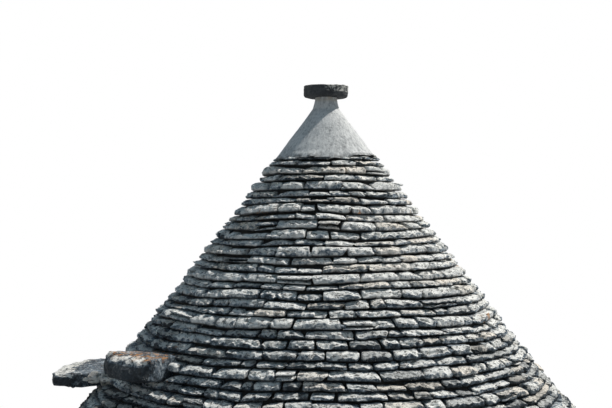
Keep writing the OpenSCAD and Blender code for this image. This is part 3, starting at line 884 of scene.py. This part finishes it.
def build_eaves(look):
    """Large flat slabs laid over the wall's head, which stand out all round."""
    low, high = span("eaves_slabs")
    points = node_points("eaves_slabs")
    half, corner = high[0] - 0.012, outline_of(points[np.abs(points[:, 2] - low[2]) < 1e-3])[1]
    rng = np.random.default_rng(5)
    joints = split_way(rng, round_length(half, corner), lengths=(0.28, 0.56))
    stones = []
    for near, far in zip(joints, joints[1:]):
        gap = rng.uniform(0.012, 0.026)
        tops = high[2] - rng.uniform(0, 0.022, 2)
        stones.append(stone(near + gap / 2, far - gap / 2, (low[2], low[2]), tops, half=half, corner=corner,
                            proud=rng.uniform(-0.042, 0), depth=0.5, tone=rng.normal(-0.1, 0.6),
                            warm=rng.uniform(-1, 1), seed=rng.uniform(0, 900), bite=rng.uniform(0.01, 0.036),
                            skew=rng.normal(0, 0.009, 2)))
    heap = Heap()
    lay(stones, heap, 0.025)
    heap.piece("eaves_slab_ring", look, "eaves_slabs")


def build_bedding(look):
    """The dark bed of small stones behind the slabs, seen only in the gaps between them; its near-black
    colour is partly painted shade.
    """
    behind, thick, columns = 0.055, 0.12, 96
    tip = span("plaster_tip")[1][0]
    rings = [(foot, half - behind, corner) for _, foot, half, corner, _ in courses]
    rings.append((courses[-1][4], tip - behind, tip))
    points = []
    for depth in (0, thick):
        for height, half, corner in rings:
            corner = min(corner, half)
            place = walk(np.arange(columns) / columns * round_length(half, corner), half, corner)[0]
            points.append(np.column_stack([place * (1 - depth / half), np.full(columns, height)]))
    levels = len(rings)
    order = np.concatenate([np.arange(levels), np.arange(levels, 2 * levels)[::-1]]) * columns
    loops = np.concatenate([band(lower, upper, columns) for lower, upper in zip(order, np.roll(order, -1))])
    heap = Heap()
    heap.add(np.concatenate(points), loops, np.full(len(loops) // 4, 4))
    heap.piece("roof_bedding", look)


# The roof's tip and its step slabs

def from_axis(points):
    """Distance from the axis and outward direction of points."""
    reach = np.maximum(np.linalg.norm(points[:, :2], axis=1), 1e-6)
    return reach, points[:, :2] / reach[:, None]


def build_plaster_tip(look):
    """The trowelled plaster cone: uneven, streaked, with a ragged foot that runs over the stones below."""
    points = node_points("plaster_tip")
    heights = sorted(set(points[:, 2]))
    radii = [reach_at(points, z) for z in heights]
    foot, top = heights[0], heights[-1]
    slope = (radii[0] - radii[1]) / (heights[1] - heights[0])
    skirt = PLASTER_SKIRT - 0.006
    profile = [(0.25, foot - skirt), (radii[0] - 0.02, foot - skirt)]
    profile += [(radii[0] + slope * down, foot - down) for down in (skirt, skirt * 0.66, skirt * 0.33)]
    profile += [(np.interp(height, heights, radii), height) for height in np.linspace(foot, top, 48)]
    profile.append((radii[-1] * 0.5, top))
    points, loops, sizes = turned(profile, 170)
    reach, out = from_axis(points)
    low = ease(points[:, 2], foot + 0.04, foot - 0.03)
    lift = noises(points, 51, (0.004, 4), (0.0028, 11), (0.0016, (40, 40, 14)))
    ragged = noises(points, 54, (1, (9, 9, 0)), (0.7, (24, 24, 0)))
    lift += low * (0.006 * ragged - 0.006) - 0.003
    points[:, :2] += out * (lift * (reach > 0.06))[:, None]
    # On the right front and left of the middle the plaster has broken off and the stones under it lie bare
    angle = np.degrees(np.arctan2(points[:, 1], points[:, 0]))
    bare = ease(angle, -72, -58) * ease(angle, -2, -14)
    bare += 0.4 * ease(angle, -131, -124) * ease(angle, -94, -101)
    rise = 0.008 + 0.012 * ragged + bare * (0.03 + 0.012 * noise(points, (16, 16, 0), 56))
    points[:, 2] += ease(points[:, 2], foot + 0.06, foot - skirt) * rise * (reach > 0.3)
    heap = Heap()
    heap.add(points, loops, sizes, foot=low, neck=ease(points[:, 2], top - 0.05, top - 0.015))
    heap.piece("plaster_cone", look, "plaster_tip")


def build_tip_foot(look):
    """Thin packing stones that look out under the plaster's edge."""
    low, high = span("plaster_tip")
    rng = np.random.default_rng(61)
    half, foot = high[0] + 0.026, low[2] - PLASTER_SKIRT
    whole = round_length(half, half)
    # Lumps lie bare on the right front, where the plaster has come off, and thin layers left of the middle
    lumps_at, layers_at = whole * 0.9, whole * 0.69
    stones = []
    along = 0
    while along < whole:
        lumpy, thin = abs(along - lumps_at) < 0.32, abs(along - layers_at) < 0.16
        length = rng.uniform(0.04, 0.09) if lumpy else rng.uniform(0.07, 0.16)
        base = foot + 0.002
        tops = (0.014, 0.03) if thin else (rng.uniform(0.03, 0.052),)
        if rng.random() < (1 if lumpy or thin else 0.16):
            for top in tops:
                near = along + rng.uniform(-0.02, 0.02) * thin
                ends = foot + top, foot + top * rng.uniform(0.75, 1)
                stones.append(stone(near, near + length, (base, base), ends, half=half, corner=half,
                                    proud=rng.uniform(-0.014, 0.006), depth=0.09, tone=rng.normal(0.5, 0.5),
                                    warm=rng.uniform(-1, 0.5), seed=rng.uniform(0, 900), bite=0.014,
                                    drop=(0.2, 0.2)))
                base = foot + top + 0.002
        along += length + rng.uniform(0.004, 0.014)
    heap = Heap()
    lay(stones, heap, 0.018, 4)
    heap.piece("tip_foot_stones", look)


def build_disc(look):
    """The pinnacle's thick round stone, worn at its rims, with a split ledge in its side."""
    low, high = span("pinnacle_disc")
    reach, foot, top = high[0], low[2], high[2]
    split, brim = foot + 0.036, top - 0.002
    profile = [(radius, foot) for radius in (0.03, 0.09, 0.13)]
    profile += [(reach - back, foot + up) for back, up in ((0.022, 0.001), (0.01, 0.005), (0.003, 0.013))]
    profile += [(reach, height) for height in np.linspace(foot + 0.024, brim - 0.016, 12)]
    profile += [(reach - back, brim - down) for back, down in ((0.003, 0.008), (0.01, 0.002), (0.022, 0))]
    profile += [(radius, brim) for radius in (0.165, 0.14, 0.1, 0.06, 0.02)]
    points, loops, sizes = turned(profile, 132)
    radius, out = from_axis(points)
    angle = np.arctan2(points[:, 1], points[:, 0])
    rim = ease(radius, 0.1, reach - 0.01)
    worn = noises(points, 61, (0.004, 5), (0.0035, 17), (0.002, 45)) - 0.003
    # The bed that split off leaves the lowest part of the side a little back, towards the right front
    towards_right = ease(np.cos(angle + 0.9), 0.1, 0.8)
    worn -= 0.007 * towards_right * ease(points[:, 2], split + 0.008, split - 0.002)
    # The stone's top leans a little to the front
    points[:, 2] -= ease(points[:, 2], top - 0.04, top - 0.005) * (0.013 - 0.015 * points[:, 1] / reach)
    # The right rim is broken and pitted
    broken = ease(np.cos(angle + 0.55), 0.3, 0.85) * ease(points[:, 2], foot + 0.02, foot + 0.075)
    worn -= 0.012 * broken * ease(noise(points, 22, 64), -0.3, 0.6)
    points[:, :2] += out * (np.minimum(worn, 0.001) * rim)[:, None]
    dip = 0.001 + noises(points, 65, (0.003, 6), (0.002, 20))
    pitted = 0.009 * broken * rim * ease(noise(points, 26, 67), -0.2, 0.6)
    points[:, 2] -= ease(points[:, 2], brim - 0.05, brim - 0.02) * (np.maximum(dip, 0) + pitted)
    points[:, 2] += ease(points[:, 2], foot + 0.02, foot) * 0.004 * noise(points, 9, 68) * rim
    heap = Heap()
    # The pale spots go on the broken right rim, the sun's side: partly paler broken stone, partly painted
    # sunlight
    heap.add(points, loops, sizes, pale=broken * ease(radius, 0.1, 0.16))
    heap.piece("pinnacle_stone", look, "pinnacle_disc")


def slab_outline(node):
    """A step slab's direction, and its nose and tail as (across, out) points by across."""
    turn, across, out = facing(node_points(node))
    corners = np.array(sorted(set(zip(across.round(4), out.round(4)))))
    line = np.interp(corners[:, 0], corners[[0, -1], 0], corners[[0, -1], 1])
    return turn, corners[corners[:, 1] >= line - 1e-6], corners[corners[:, 1] <= line + 1e-6]


def build_step_slab(node, name, look, seed, lichen, lumps=()):
    """A rough projecting slab of layered rock on the CAD slab's outline, with lumps (centre, size) on it."""
    turn, nose, tail = slab_outline(node)
    low, high = span(node)
    width = nose[-1, 0] - nose[0, 0]
    depth = nose[:, 1].max() - tail[:, 1].min()
    tall = high[2] - low[2]
    points, loops, sizes, _ = rough_block(((0, 0, 0), (width, depth, tall)), 0.024, 0.03, 0.011, seed)
    across = np.clip(nose[0, 0] + points[:, 0], nose[0, 0], nose[-1, 0])
    front, back = np.interp(across, *nose.T), np.interp(across, *tail.T)
    share, height = points[:, 1] / depth, points[:, 2] / tall
    out = back + (front - back) * share
    spot = np.column_stack([across, out, points[:, 2]]) + seed
    # Layers of the rock stand out by different amounts on the sides, and the upper edge is broken
    side = ease(share, 0.45, 0.98)
    layers = noises(spot, seed, (0.018, (2.5, 2.5, 26)), (0.012, (9, 9, 40)), (0.03, (5, 5, 3))) - 0.014
    out += side * (layers + 0.012 * noise(spot, 15, seed + 6))
    broken = ease(height, 0.55, 1) * ease(share, 0.72, 1)
    out -= broken * (0.034 + 0.034 * noise(spot, 11, seed + 3))
    top = ease(height, 0.75, 1)
    uneven = noises(spot, seed + 4, (0.012, (6, 6, 0)), (0.006, (22, 22, 0)))
    level = points[:, 2] - top * (0.01 + uneven) - broken * 0.02
    x = out * math.cos(turn) - across * math.sin(turn)
    y = out * math.sin(turn) + across * math.cos(turn)
    chipped = ease(height, 0.6, 0.85) * ease(share, 0.62, 0.9)
    chipped *= ease(noise(spot, 17, seed + 7), -0.8, 0.1)
    # The top is painted a little lighter, a painted highlight, and the lower sides darker, painted shade; the
    # chipped upper edges get the pale broken colour
    wear = 1.1 * chipped + 0.12 * top - 0.62 * ease(height, 0.95, 0.45) * side
    heap = Heap()
    heap.add(np.column_stack([x, y, low[2] + level]), loops, sizes, wear=wear, tone=-0.55, warm=0.6,
             lichen=lichen * top * (1 - 0.6 * chipped))
    for number, (centre, size) in enumerate(np.array(lumps)):
        box = centre - size / 2, centre + size / 2
        points, loops, sizes, _ = rough_block(box, 0.014, min(size) * 0.42, 0.012, seed + 20 + number)
        # The lumps get a pale tone and full wear: painted light that makes them look sunlit though they lie
        # in the slab's shadow
        heap.add(points, loops, sizes, wear=1, tone=2.2, warm=0.7, lichen=0.15)
    heap.piece(name, look, node)


# Walls

def lines_between(stops, cell):
    """Places from the first stop to the last, about a cell apart, with one on every stop."""
    parts = [np.linspace(near, far, max(1, round((far - near) / cell)), endpoint=False)
             for near, far in zip(stops, stops[1:])]
    return np.concatenate(parts + [stops[-1:]])


def outside(values, low, high):
    """How far values lie outside a range."""
    return np.maximum(np.maximum(low - values, values - high), 0)


def wall_relief(spots, free):
    """How far the limewashed face stands out, and the swell of the stones under it, by how free spots are."""
    flat = spots.reshape(-1, 3)
    large = ease(cell_gap(flat, (0.46, 0.46, 0.25), 7), 0, 0.55)
    small = ease(cell_gap(flat, (0.24, 0.24, 0.16), 9), 0, 0.6)
    mixed = ease(noise(flat, 1.3, 73), -0.25, 0.25)
    thickly_washed = ease(noise(flat, 0.9, 74), -0.3, 0.5)
    bulge = (large * mixed + 0.7 * small * (1 - mixed)) * (1 - 0.5 * thickly_washed)
    swell = bulge.reshape(free.shape) * free
    uneven = 0.007 * (1 + layered_noise(spots, 2.2, 3, 71)) + 0.0018 * noise(spots, 16, 72)
    return 0.003 + 0.01 * swell + free * uneven, swell


def sheet_faces(kept):
    """Face corners of the kept cells of a sheet that goes round, on both of its sides and along its rims."""
    columns, rows = kept.shape[0], kept.shape[1] + 1
    number = np.arange(columns * rows).reshape(columns, rows)
    onward = np.roll(number, -1, axis=0)
    a, b, c, d = number[:, :-1], onward[:, :-1], onward[:, 1:], number[:, 1:]
    count = columns * rows
    faces = [np.stack([a, b, c, d], -1)[kept], np.stack([d, c, b, a], -1)[kept] + count]
    padded = np.pad(kept, ((0, 0), (1, 1)))
    neighbours = ((padded[:, :-2], a, b), (np.roll(kept, -1, axis=0), b, c), (padded[:, 2:], c, d),
                  (np.roll(kept, 1, axis=0), d, a))
    for other, start, end in neighbours:
        rim = kept & ~other
        faces.append(np.stack([end[rim], start[rim], start[rim] + count, end[rim] + count], -1))
    return np.concatenate(faces)


def build_wall_skin(look):
    """The limewashed outer face of the walls, with the stones' swell under it and the openings left out."""
    half, corner = outline_of(node_points("back_wall"))
    window_low, window_high = span("right_window_frame")
    sill_low, lintel_high = span("right_window_sill")[0], span("right_window_lintel")[1]
    (arch_inner, _, _), (pier_outer, _, spring) = span("door_pier_right")
    arch_outer = span("door_arch")[1][0]
    hidden_edge = (arch_inner + arch_outer) / 2 + 0.02
    cell, thick, never = 0.044, 0.05, 9
    whole = round_length(half, corner)
    side = window_high[1]
    along = lines_between([-side, side, whole / 2 - side, whole / 2 + side, whole - side], cell)[:-1]
    level = lines_between([0, window_low[2], window_high[2], span("back_wall")[1][2]], cell)
    place, out = walk(along % whole, half, corner)
    columns, rows = len(along), len(level)
    spots = np.concatenate([np.repeat(place[:, None, :], rows, axis=1),
                            np.broadcast_to(level[None, :, None], (columns, rows, 1))], axis=2)
    x, y, z = np.moveaxis(spots, -1, 0)
    by_window = np.hypot(outside(np.abs(y), -1, -sill_low[1]), outside(z, sill_low[2], lintel_high[2]))
    by_window = np.where(np.abs(x) > half - corner, by_window, never)
    by_door = np.where(z < spring, outside(np.abs(x), -1, pier_outer), np.hypot(x, z - spring) - arch_outer)
    by_door = np.where(y < corner - half, by_door, never)
    proud, swell = wall_relief(spots, ease(np.minimum(by_window, by_door), 0.01, 0.16))
    outer, inner = spots.copy(), spots.copy()
    outer[..., :2] += out[:, None, :] * proud[..., None]
    inner[..., :2] -= out[:, None, :] * thick
    # Which cells of the grid are wall and which are opening
    mx, my, mz = np.moveaxis((spots[:, :-1] + np.roll(spots, -1, axis=0)[:, 1:]) / 2, -1, 0)
    in_window = (np.abs(mx) > half - 0.01) & (np.abs(my) < side)
    in_window &= (mz > window_low[2]) & (mz < window_high[2])
    in_door = (my < 0.01 - half) & np.where(mz < spring, np.abs(mx) < hidden_edge,
                                            np.hypot(mx, mz - spring) < hidden_edge - 0.03)
    faces = sheet_faces(~(in_window | in_door))
    used, loops = np.unique(faces.ravel(), return_inverse=True)
    heap = Heap()
    points = np.concatenate([outer.reshape(-1, 3), inner.reshape(-1, 3)])[used]
    heap.add(points, loops, np.full(len(faces), 4), swell=np.tile(swell.ravel(), 2)[used])
    heap.piece("limewashed_wall_face", look)


# Doorway, windows and floor

MORTAR_TONE = -1.6
JOINT = 0.005
STONE_PROUD = 0.018
SIDES = ((1, "right"), (-1, "left"))


def add_block(heap, box, seed, cell, rounding, roughness, tone=None, bend=None):
    """Adds one worn stone that fills the space between two corners."""
    points, loops, sizes, wear = rough_block(box, cell, rounding, roughness, seed)
    rng = np.random.default_rng(seed)
    own_tone, warm = rng.normal(0, 0.45), rng.uniform(-1, 1)
    tone = own_tone if tone is None else tone
    heap.add(bend(points) if bend else points, loops, sizes, tone=tone, warm=warm, wear=wear)


def add_board(heap, box, grain, seed, rounding=0.003, cell=0.09):
    """Adds a board between two corners, with its grain along one axis."""
    points, loops, sizes, wear = rough_block(box, cell, rounding, 0.0006, seed)
    along = points[:, grain]
    across = np.delete(points, grain, axis=1).sum(axis=1)
    heap.add(points, loops, sizes, along=along, across=across, board=float(seed % 97), wear=wear)


def add_iron(heap, box, rounding):
    """Adds a forged bar between two corners."""
    points, loops, sizes, wear = rough_block(box, 0.05, rounding, 0.0004, 7, 2)
    heap.add(points, loops, sizes, wear=wear)


def mirrored(low, high, sign):
    """The corners of a box, mirrored across the house's middle where sign is -1."""
    xs = sorted([low[0] * sign, high[0] * sign])
    return (xs[0], low[1], low[2]), (xs[1], high[1], high[2])


def stacked_stones(heap, low, high, count, sign, seed, proud, narrower=0):
    """A pier of count stones between two corners, with mortar set back in its joints."""
    rng = np.random.default_rng(seed)
    shares = np.cumsum(rng.uniform(0.75, 1.25, count))
    levels = low[2] + np.concatenate([[0], shares / shares[-1]]) * (high[2] - low[2])
    for number, (foot, top) in enumerate(zip(levels, levels[1:])):
        box = mirrored((low[0], low[1] - proud * rng.uniform(0.75, 1.1), foot + JOINT / 2),
                       (high[0] - narrower * (number % 2), high[1], top - JOINT / 2), sign)
        add_block(heap, box, seed + number, 0.045, 0.013, 0.0045)
    core = mirrored(low + (0.012, 0.004, 0), high - (0.02, 0.012, 0), sign)
    add_block(heap, core, seed + 50, 0.3, 0.004, 0, MORTAR_TONE)


def build_doorway(look):
    """Piers, jambs, lintel and threshold of pale split limestone."""
    piles = ("pier", 5, 300, STONE_PROUD, 0.045), ("jamb", 6, 340, 0, 0)
    for sign, side in SIDES:
        for part, count, seed, proud, narrower in piles:
            heap = Heap()
            seed += 20 * (sign < 0)
            stacked_stones(heap, *span(f"door_{part}_right"), count, sign, seed, proud, narrower)
            heap.piece(f"{part}_stones_{side}", look, f"door_{part}_{side}")
    low, high = span("door_lintel")
    heap = Heap()
    add_block(heap, (low + (0, -0.004, 0.002), high), 380, 0.05, 0.014, 0.005)
    heap.piece("lintel_stone", look, "door_lintel")
    low, high = span("threshold")
    passage, jamb_front, _ = span("door_jamb_right")[0]

    def worn(points):
        """The walked middle of the slab is a few millimetres lower than its ends."""
        trodden = np.exp(-(points[:, 0] / 0.24) ** 2) * ease(points[:, 2], 0.1, high[2])
        return points - trodden[:, None] * (0, 0, 0.008)

    heap = Heap()
    outer = (low[0], low[1] + 0.004, low[2]), (high[0], jamb_front, high[2])
    inner = (-passage, jamb_front + 0.004, low[2]), (passage, high[1], high[2])
    add_block(heap, outer, 390, 0.045, 0.016, 0.004, bend=worn)
    add_block(heap, inner, 391, 0.045, 0.014, 0.004, bend=worn)
    heap.piece("threshold_slabs", look, "threshold")


def build_arch(look, count=9):
    """The ring of wedge stones over the door's recess."""
    low, high = span("door_arch")
    inner, outer = span("door_pier_right")[0][0], high[0]
    middle = (inner + outer) / 2
    wedge = math.pi / count
    length = wedge * middle - JOINT
    heap = Heap()
    rng = np.random.default_rng(400)
    for number in range(count):
        proud = STONE_PROUD * rng.uniform(0.8, 1.2) + (0.01 if number == count // 2 else 0)

        def bend(points, start=wedge * number):
            """Wraps a straight block round the arch's centre."""
            angle = math.pi - start - (points[:, 0] + JOINT / 2) / middle
            reach = points[:, 2]
            return np.column_stack([np.cos(angle) * reach, points[:, 1], low[2] + np.sin(angle) * reach])

        box = (0, low[1] - proud, inner), (length, high[1], outer)
        add_block(heap, box, 410 + number, 0.035, 0.011, 0.0035, bend=bend)
    heap.piece("arch_stones", look, "door_arch")


def build_window_stones(look):
    """Sill and lintel stone of each window."""
    for sign, side in SIDES:
        for part, proud, seed in (("sill", 0, 430), ("lintel", 0.024, 440)):
            low, high = span(f"right_window_{part}")
            heap = Heap()
            add_block(heap, mirrored(low, high + (proud, 0, 0), sign), seed + sign, 0.035, 0.012, 0.004)
            heap.piece(f"{side}_{part}_stone", look, f"{side}_window_{part}")


def build_floor(look):
    """Limestone floor slabs laid with narrow joints over their bed."""
    low, high = span("floor_paving")
    rng = np.random.default_rng(450)
    heap = Heap()
    add_block(heap, (low, high - (0, 0, 0.012)), 451, 0.9, 0.004, 0, MORTAR_TONE)
    rows, half_joint, thick = lines_between([low[1], high[1]], 0.5), 0.003, 0.07
    for number, (front, back) in enumerate(zip(rows, rows[1:])):
        places = low[0] + split_way(rng, high[0] - low[0], lengths=(0.42, 0.66))
        for left, right in zip(places, places[1:]):
            box = ((left + half_joint, front + half_joint, high[2] - thick),
                   (right - half_joint, back - half_joint, high[2] - rng.uniform(0, 0.004)))
            add_block(heap, box, 460 + number * 20 + len(places), 0.085, 0.009, 0.002)
    heap.piece("floor_slabs", look, "floor_paving")


def add_hinge(heap, sign, low, high, height):
    """Adds a strap hinge along a ledge of the leaf between two corners, with its knuckle at the frame."""
    add_iron(heap, mirrored((low[0] - 0.005, low[1] - 0.002, height - 0.018),
                            (low[0] + 0.001, high[1] - 0.09, height + 0.018), sign), 0.002)
    knuckle = [(0.002, -0.03), (0.011, -0.03), (0.012, -0.028), (0.012, 0.028), (0.011, 0.03), (0.002, 0.03)]
    points, loops, sizes = turned(knuckle, 14)
    heap.add(points + (sign * (low[0] + 0.006), low[1] - 0.008, height), loops, sizes, wear=0.5)


def add_nail(heap, head, way):
    """Adds a forged nail's domed head on a face that looks along X."""
    points, loops, sizes = turned([(0.0085, -0.001), (0.0085, 0.0005), (0.006, 0.003), (0.002, 0.0042)], 8)
    heap.add(points[:, ::-1] * (way, 1, 1) + head, loops, sizes, flip=way > 0, wear=0.6)


def build_door_timber(look, iron):
    """The door's frame and its two boarded leaves, open into the room, with their ironwork."""
    frame_low, frame_high = span("door_frame")
    low, high = span("door_leaf_right")
    passage, clear, head = high[0] - 0.045, 0.39, high[2] + 0.006
    heap = Heap()
    for sign, _ in SIDES:
        add_board(heap, mirrored((clear, *frame_low[1:]), frame_high, sign), 2, 500 + sign)
    head_box = (-clear, frame_low[1] + 0.001, head), (clear, frame_high[1] - 0.001, frame_high[2])
    add_board(heap, head_box, 0, 503)
    heap.piece("door_frame_timber", look, "door_frame")
    metal = Heap()
    boards, half_gap = lines_between([low[1], high[1]], 0.097), 0.0012
    for sign, side in SIDES:
        heap = Heap()
        for number, (front, back) in enumerate(zip(boards, boards[1:])):
            box = mirrored((passage, front + half_gap, low[2]), (high[0], back - half_gap, high[2]), sign)
            add_board(heap, box, 2, 510 + number + 10 * sign, 0.005)
        for number, share in enumerate((0.14, 0.5, 0.86)):
            middle = low[2] + share * (high[2] - low[2])
            ledge = mirrored((low[0], low[1] + 0.01, middle - 0.055),
                             (passage + 0.001, high[1] - 0.01, middle + 0.055), sign)
            add_board(heap, ledge, 1, 540 + number + 10 * sign, 0.006)
            for front, back in zip(boards, boards[1:]):
                for lift in (-0.028, 0.028):
                    add_nail(metal, (sign * low[0], (front + back) / 2, middle + lift), -sign)
            if share != 0.5:
                add_hinge(metal, sign, low, high, middle)
        heap.piece(f"door_boards_{side}", look, f"door_leaf_{side}")
    bolt_y, bolt_z = high[1] - 0.13, low[2] + 0.95
    bolt = (low[0] + 0.012, bolt_y, bolt_z - 0.009), (passage, bolt_y + 0.115, bolt_z + 0.009)
    add_iron(metal, bolt, 0.004)
    for shift in (0.012, 0.085):
        staple_y = bolt_y + shift
        staple = (low[0] + 0.005, staple_y, bolt_z - 0.02), (passage, staple_y + 0.016, bolt_z + 0.02)
        add_iron(metal, staple, 0.003)
    metal.piece("door_ironwork", iron)


def build_windows(look):
    """Window frames of separate members and bars, which hold the panes."""
    low, high = span("right_window_frame")
    stile, bar, tongue = 0.045, 0.024, 0.006
    middle = (low[2] + high[2]) / 2
    inner_low, inner_high = low[1:] + stile, high[1:] - stile
    rail_low, rail_high = inner_low[0] - tongue, inner_high[0] + tongue
    # Each member's set-back from the frame's faces, its reach along Y and Z, and the axis of its grain
    parts = ((0, (low[1], inner_low[0]), (low[2], high[2]), 2),
             (0, (inner_high[0], high[1]), (low[2], high[2]), 2),
             (0.0008, (rail_low, rail_high), (low[2], inner_low[1]), 1),
             (0.0008, (rail_low, rail_high), (inner_high[1], high[2]), 1),
             (0.006, (-bar / 2, bar / 2), (inner_low[1], inner_high[1]), 2),
             (0.007, (inner_low[0], inner_high[0]), (middle - bar / 2, middle + bar / 2), 1))
    for sign, side in SIDES:
        heap = Heap()
        for number, (back, (y0, y1), (z0, z1), grain) in enumerate(parts):
            box = mirrored((low[0] + back, y0, z0), (high[0] - back, y1, z1), sign)
            add_board(heap, box, grain, 570 + number + 10 * sign, 0.004, 0.06)
        heap.piece(f"{side}_window_bars", look, f"{side}_window_frame")


def dress(material, *nodes):
    """Gives CAD nodes that stay shown their material."""
    for name in nodes:
        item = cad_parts[name]
        if not item.material_slots:
            item.data.materials.append(material)
        for place in item.material_slots:
            place.material = material


# Camera and light

def add_camera():
    """The photograph's view: from 9 m in front of the axis, at the height of the cone's upper half."""
    distance, height = 9, 4.6
    focal_pixels, frame_width, sensor = 1000, 612, 36
    pitch, yaw = math.radians(0.34), math.radians(1.15)
    data = bpy.data.cameras.new("photo_camera")
    data.sensor_width = sensor
    data.lens = focal_pixels / frame_width * sensor
    camera = add_object("photo_camera", data)
    camera.location = (0, -distance, height)
    camera.rotation_euler = (math.pi / 2 + pitch, 0, yaw)
    bpy.context.scene.camera = camera


def add_lights():
    """A sun on the photograph's side and an even bluish fill from the world, which itself looks white."""
    data = bpy.data.lights.new("key", "SUN")
    data.energy = 3.8
    data.color = (1, 0.98, 0.95)
    data.angle = math.radians(1.6)
    elevation, round_to_back = math.radians(53), math.radians(18)
    add_object("key", data).rotation_euler = (math.pi / 2 - elevation, 0, math.pi / 2 + round_to_back)
    s = Shader(bpy.data.worlds.new("studio"))
    bpy.context.scene.world = s.owner
    fill = s.node("Background", 0, {"Color": (0.54, 0.78, 1), "Strength": 0.235})
    white = s.node("Background", 0, {"Color": (1, 1, 1)})
    s.finish(s.node("MixShader", 0, {0: s.straight_rays(), 1: fill, 2: white}), "World")


def add_floor():
    """A plain pale floor that keeps the shadow and fades to white far out."""
    size = 60
    mesh = bpy.data.meshes.new("studio_floor")
    corners = [(x * size, y * size, 0) for x, y in ((-1, -1), (1, -1), (1, 1), (-1, 1))]
    mesh.from_pydata(corners, [], [(0, 1, 2, 3)])
    floor = add_object("studio_floor", mesh)
    s = new_material("pale_floor")
    colour = s.mix(s.noise(s.place(), 0.7, 3), (0.83, 0.83, 0.82), (0.87, 0.87, 0.86))
    # What the floor throws back on the walls is that of a darker ground
    colour = s.mix(s.node("LightPath", "Is Camera Ray", {}), (0.42, 0.42, 0.42), colour)
    matt = s.node("BsdfDiffuse", 0, {"Color": colour})
    white = s.node("Emission", 0, {"Color": (1, 1, 1), "Strength": 1})
    away = s.node("VectorMath", "Value", {0: s.place()}, operation="LENGTH")
    share = away.rise(7, 15) * s.straight_rays()
    mesh.materials.append(s.finish(s.node("MixShader", 0, {0: share, 1: matt, 2: white})))


bpy.context.scene.view_settings.view_transform = "Standard"
# A look is a material, a slot and the angle in degrees from which an edge is sharp
roof_stone = roof_stone_material(), "roof_stone", 26
step_stone = roof_stone[0], "roof_stone", 32
pale_stone = pale_stone_material(), "pale_stone", 34
limewash = limewash_material()
timber = timber_material(), "timber", 30
build_roof(roof_stone)
build_eaves(roof_stone)
build_bedding((bedding_material(), "rubble", 26))
build_step_slab("lower_step_slab", "lower_step_stone", step_stone, 11, 0.1,
                (((-2.1, -0.49, 3.16), (0.17, 0.09, 0.075)), ((-1.97, -0.505, 3.175), (0.15, 0.13, 0.13)),
                 ((-1.84, -0.52, 3.165), (0.19, 0.17, 0.17))))
build_step_slab("upper_step_slab", "upper_step_stone", step_stone, 12, 1)
build_plaster_tip((plaster_material(), "plaster", 40))
build_tip_foot(roof_stone)
build_disc((dark_stone_material(), "dark_stone", 35))
build_wall_skin((limewash, "limewash", 60))
build_doorway(pale_stone)
build_arch(pale_stone)
build_window_stones(pale_stone)
build_floor(pale_stone)
build_door_timber(timber, (iron_material(), None, 40))
build_windows(timber)
dress(limewash, "front_wall_left", "front_wall_right", "front_wall_over_door", "left_wall", "right_wall",
      "back_wall")
dress(masonry_material("corbelled_vault_stone", (0.7, 0.66, 0.57), (0.34, 0.31, 0.26), 4.2),
      "front_left_squinch", "front_right_squinch", "back_left_squinch", "back_right_squinch", "vault_lower",
      "vault_middle", "vault_upper", "vault_keystone")
dress(masonry_material("rubble_core", (0.38, 0.35, 0.3), (0.14, 0.13, 0.11), 7), "rubble_fill")
dress(glass_material(), "left_window_glass", "right_window_glass")
add_camera()
add_lights()
add_floor()
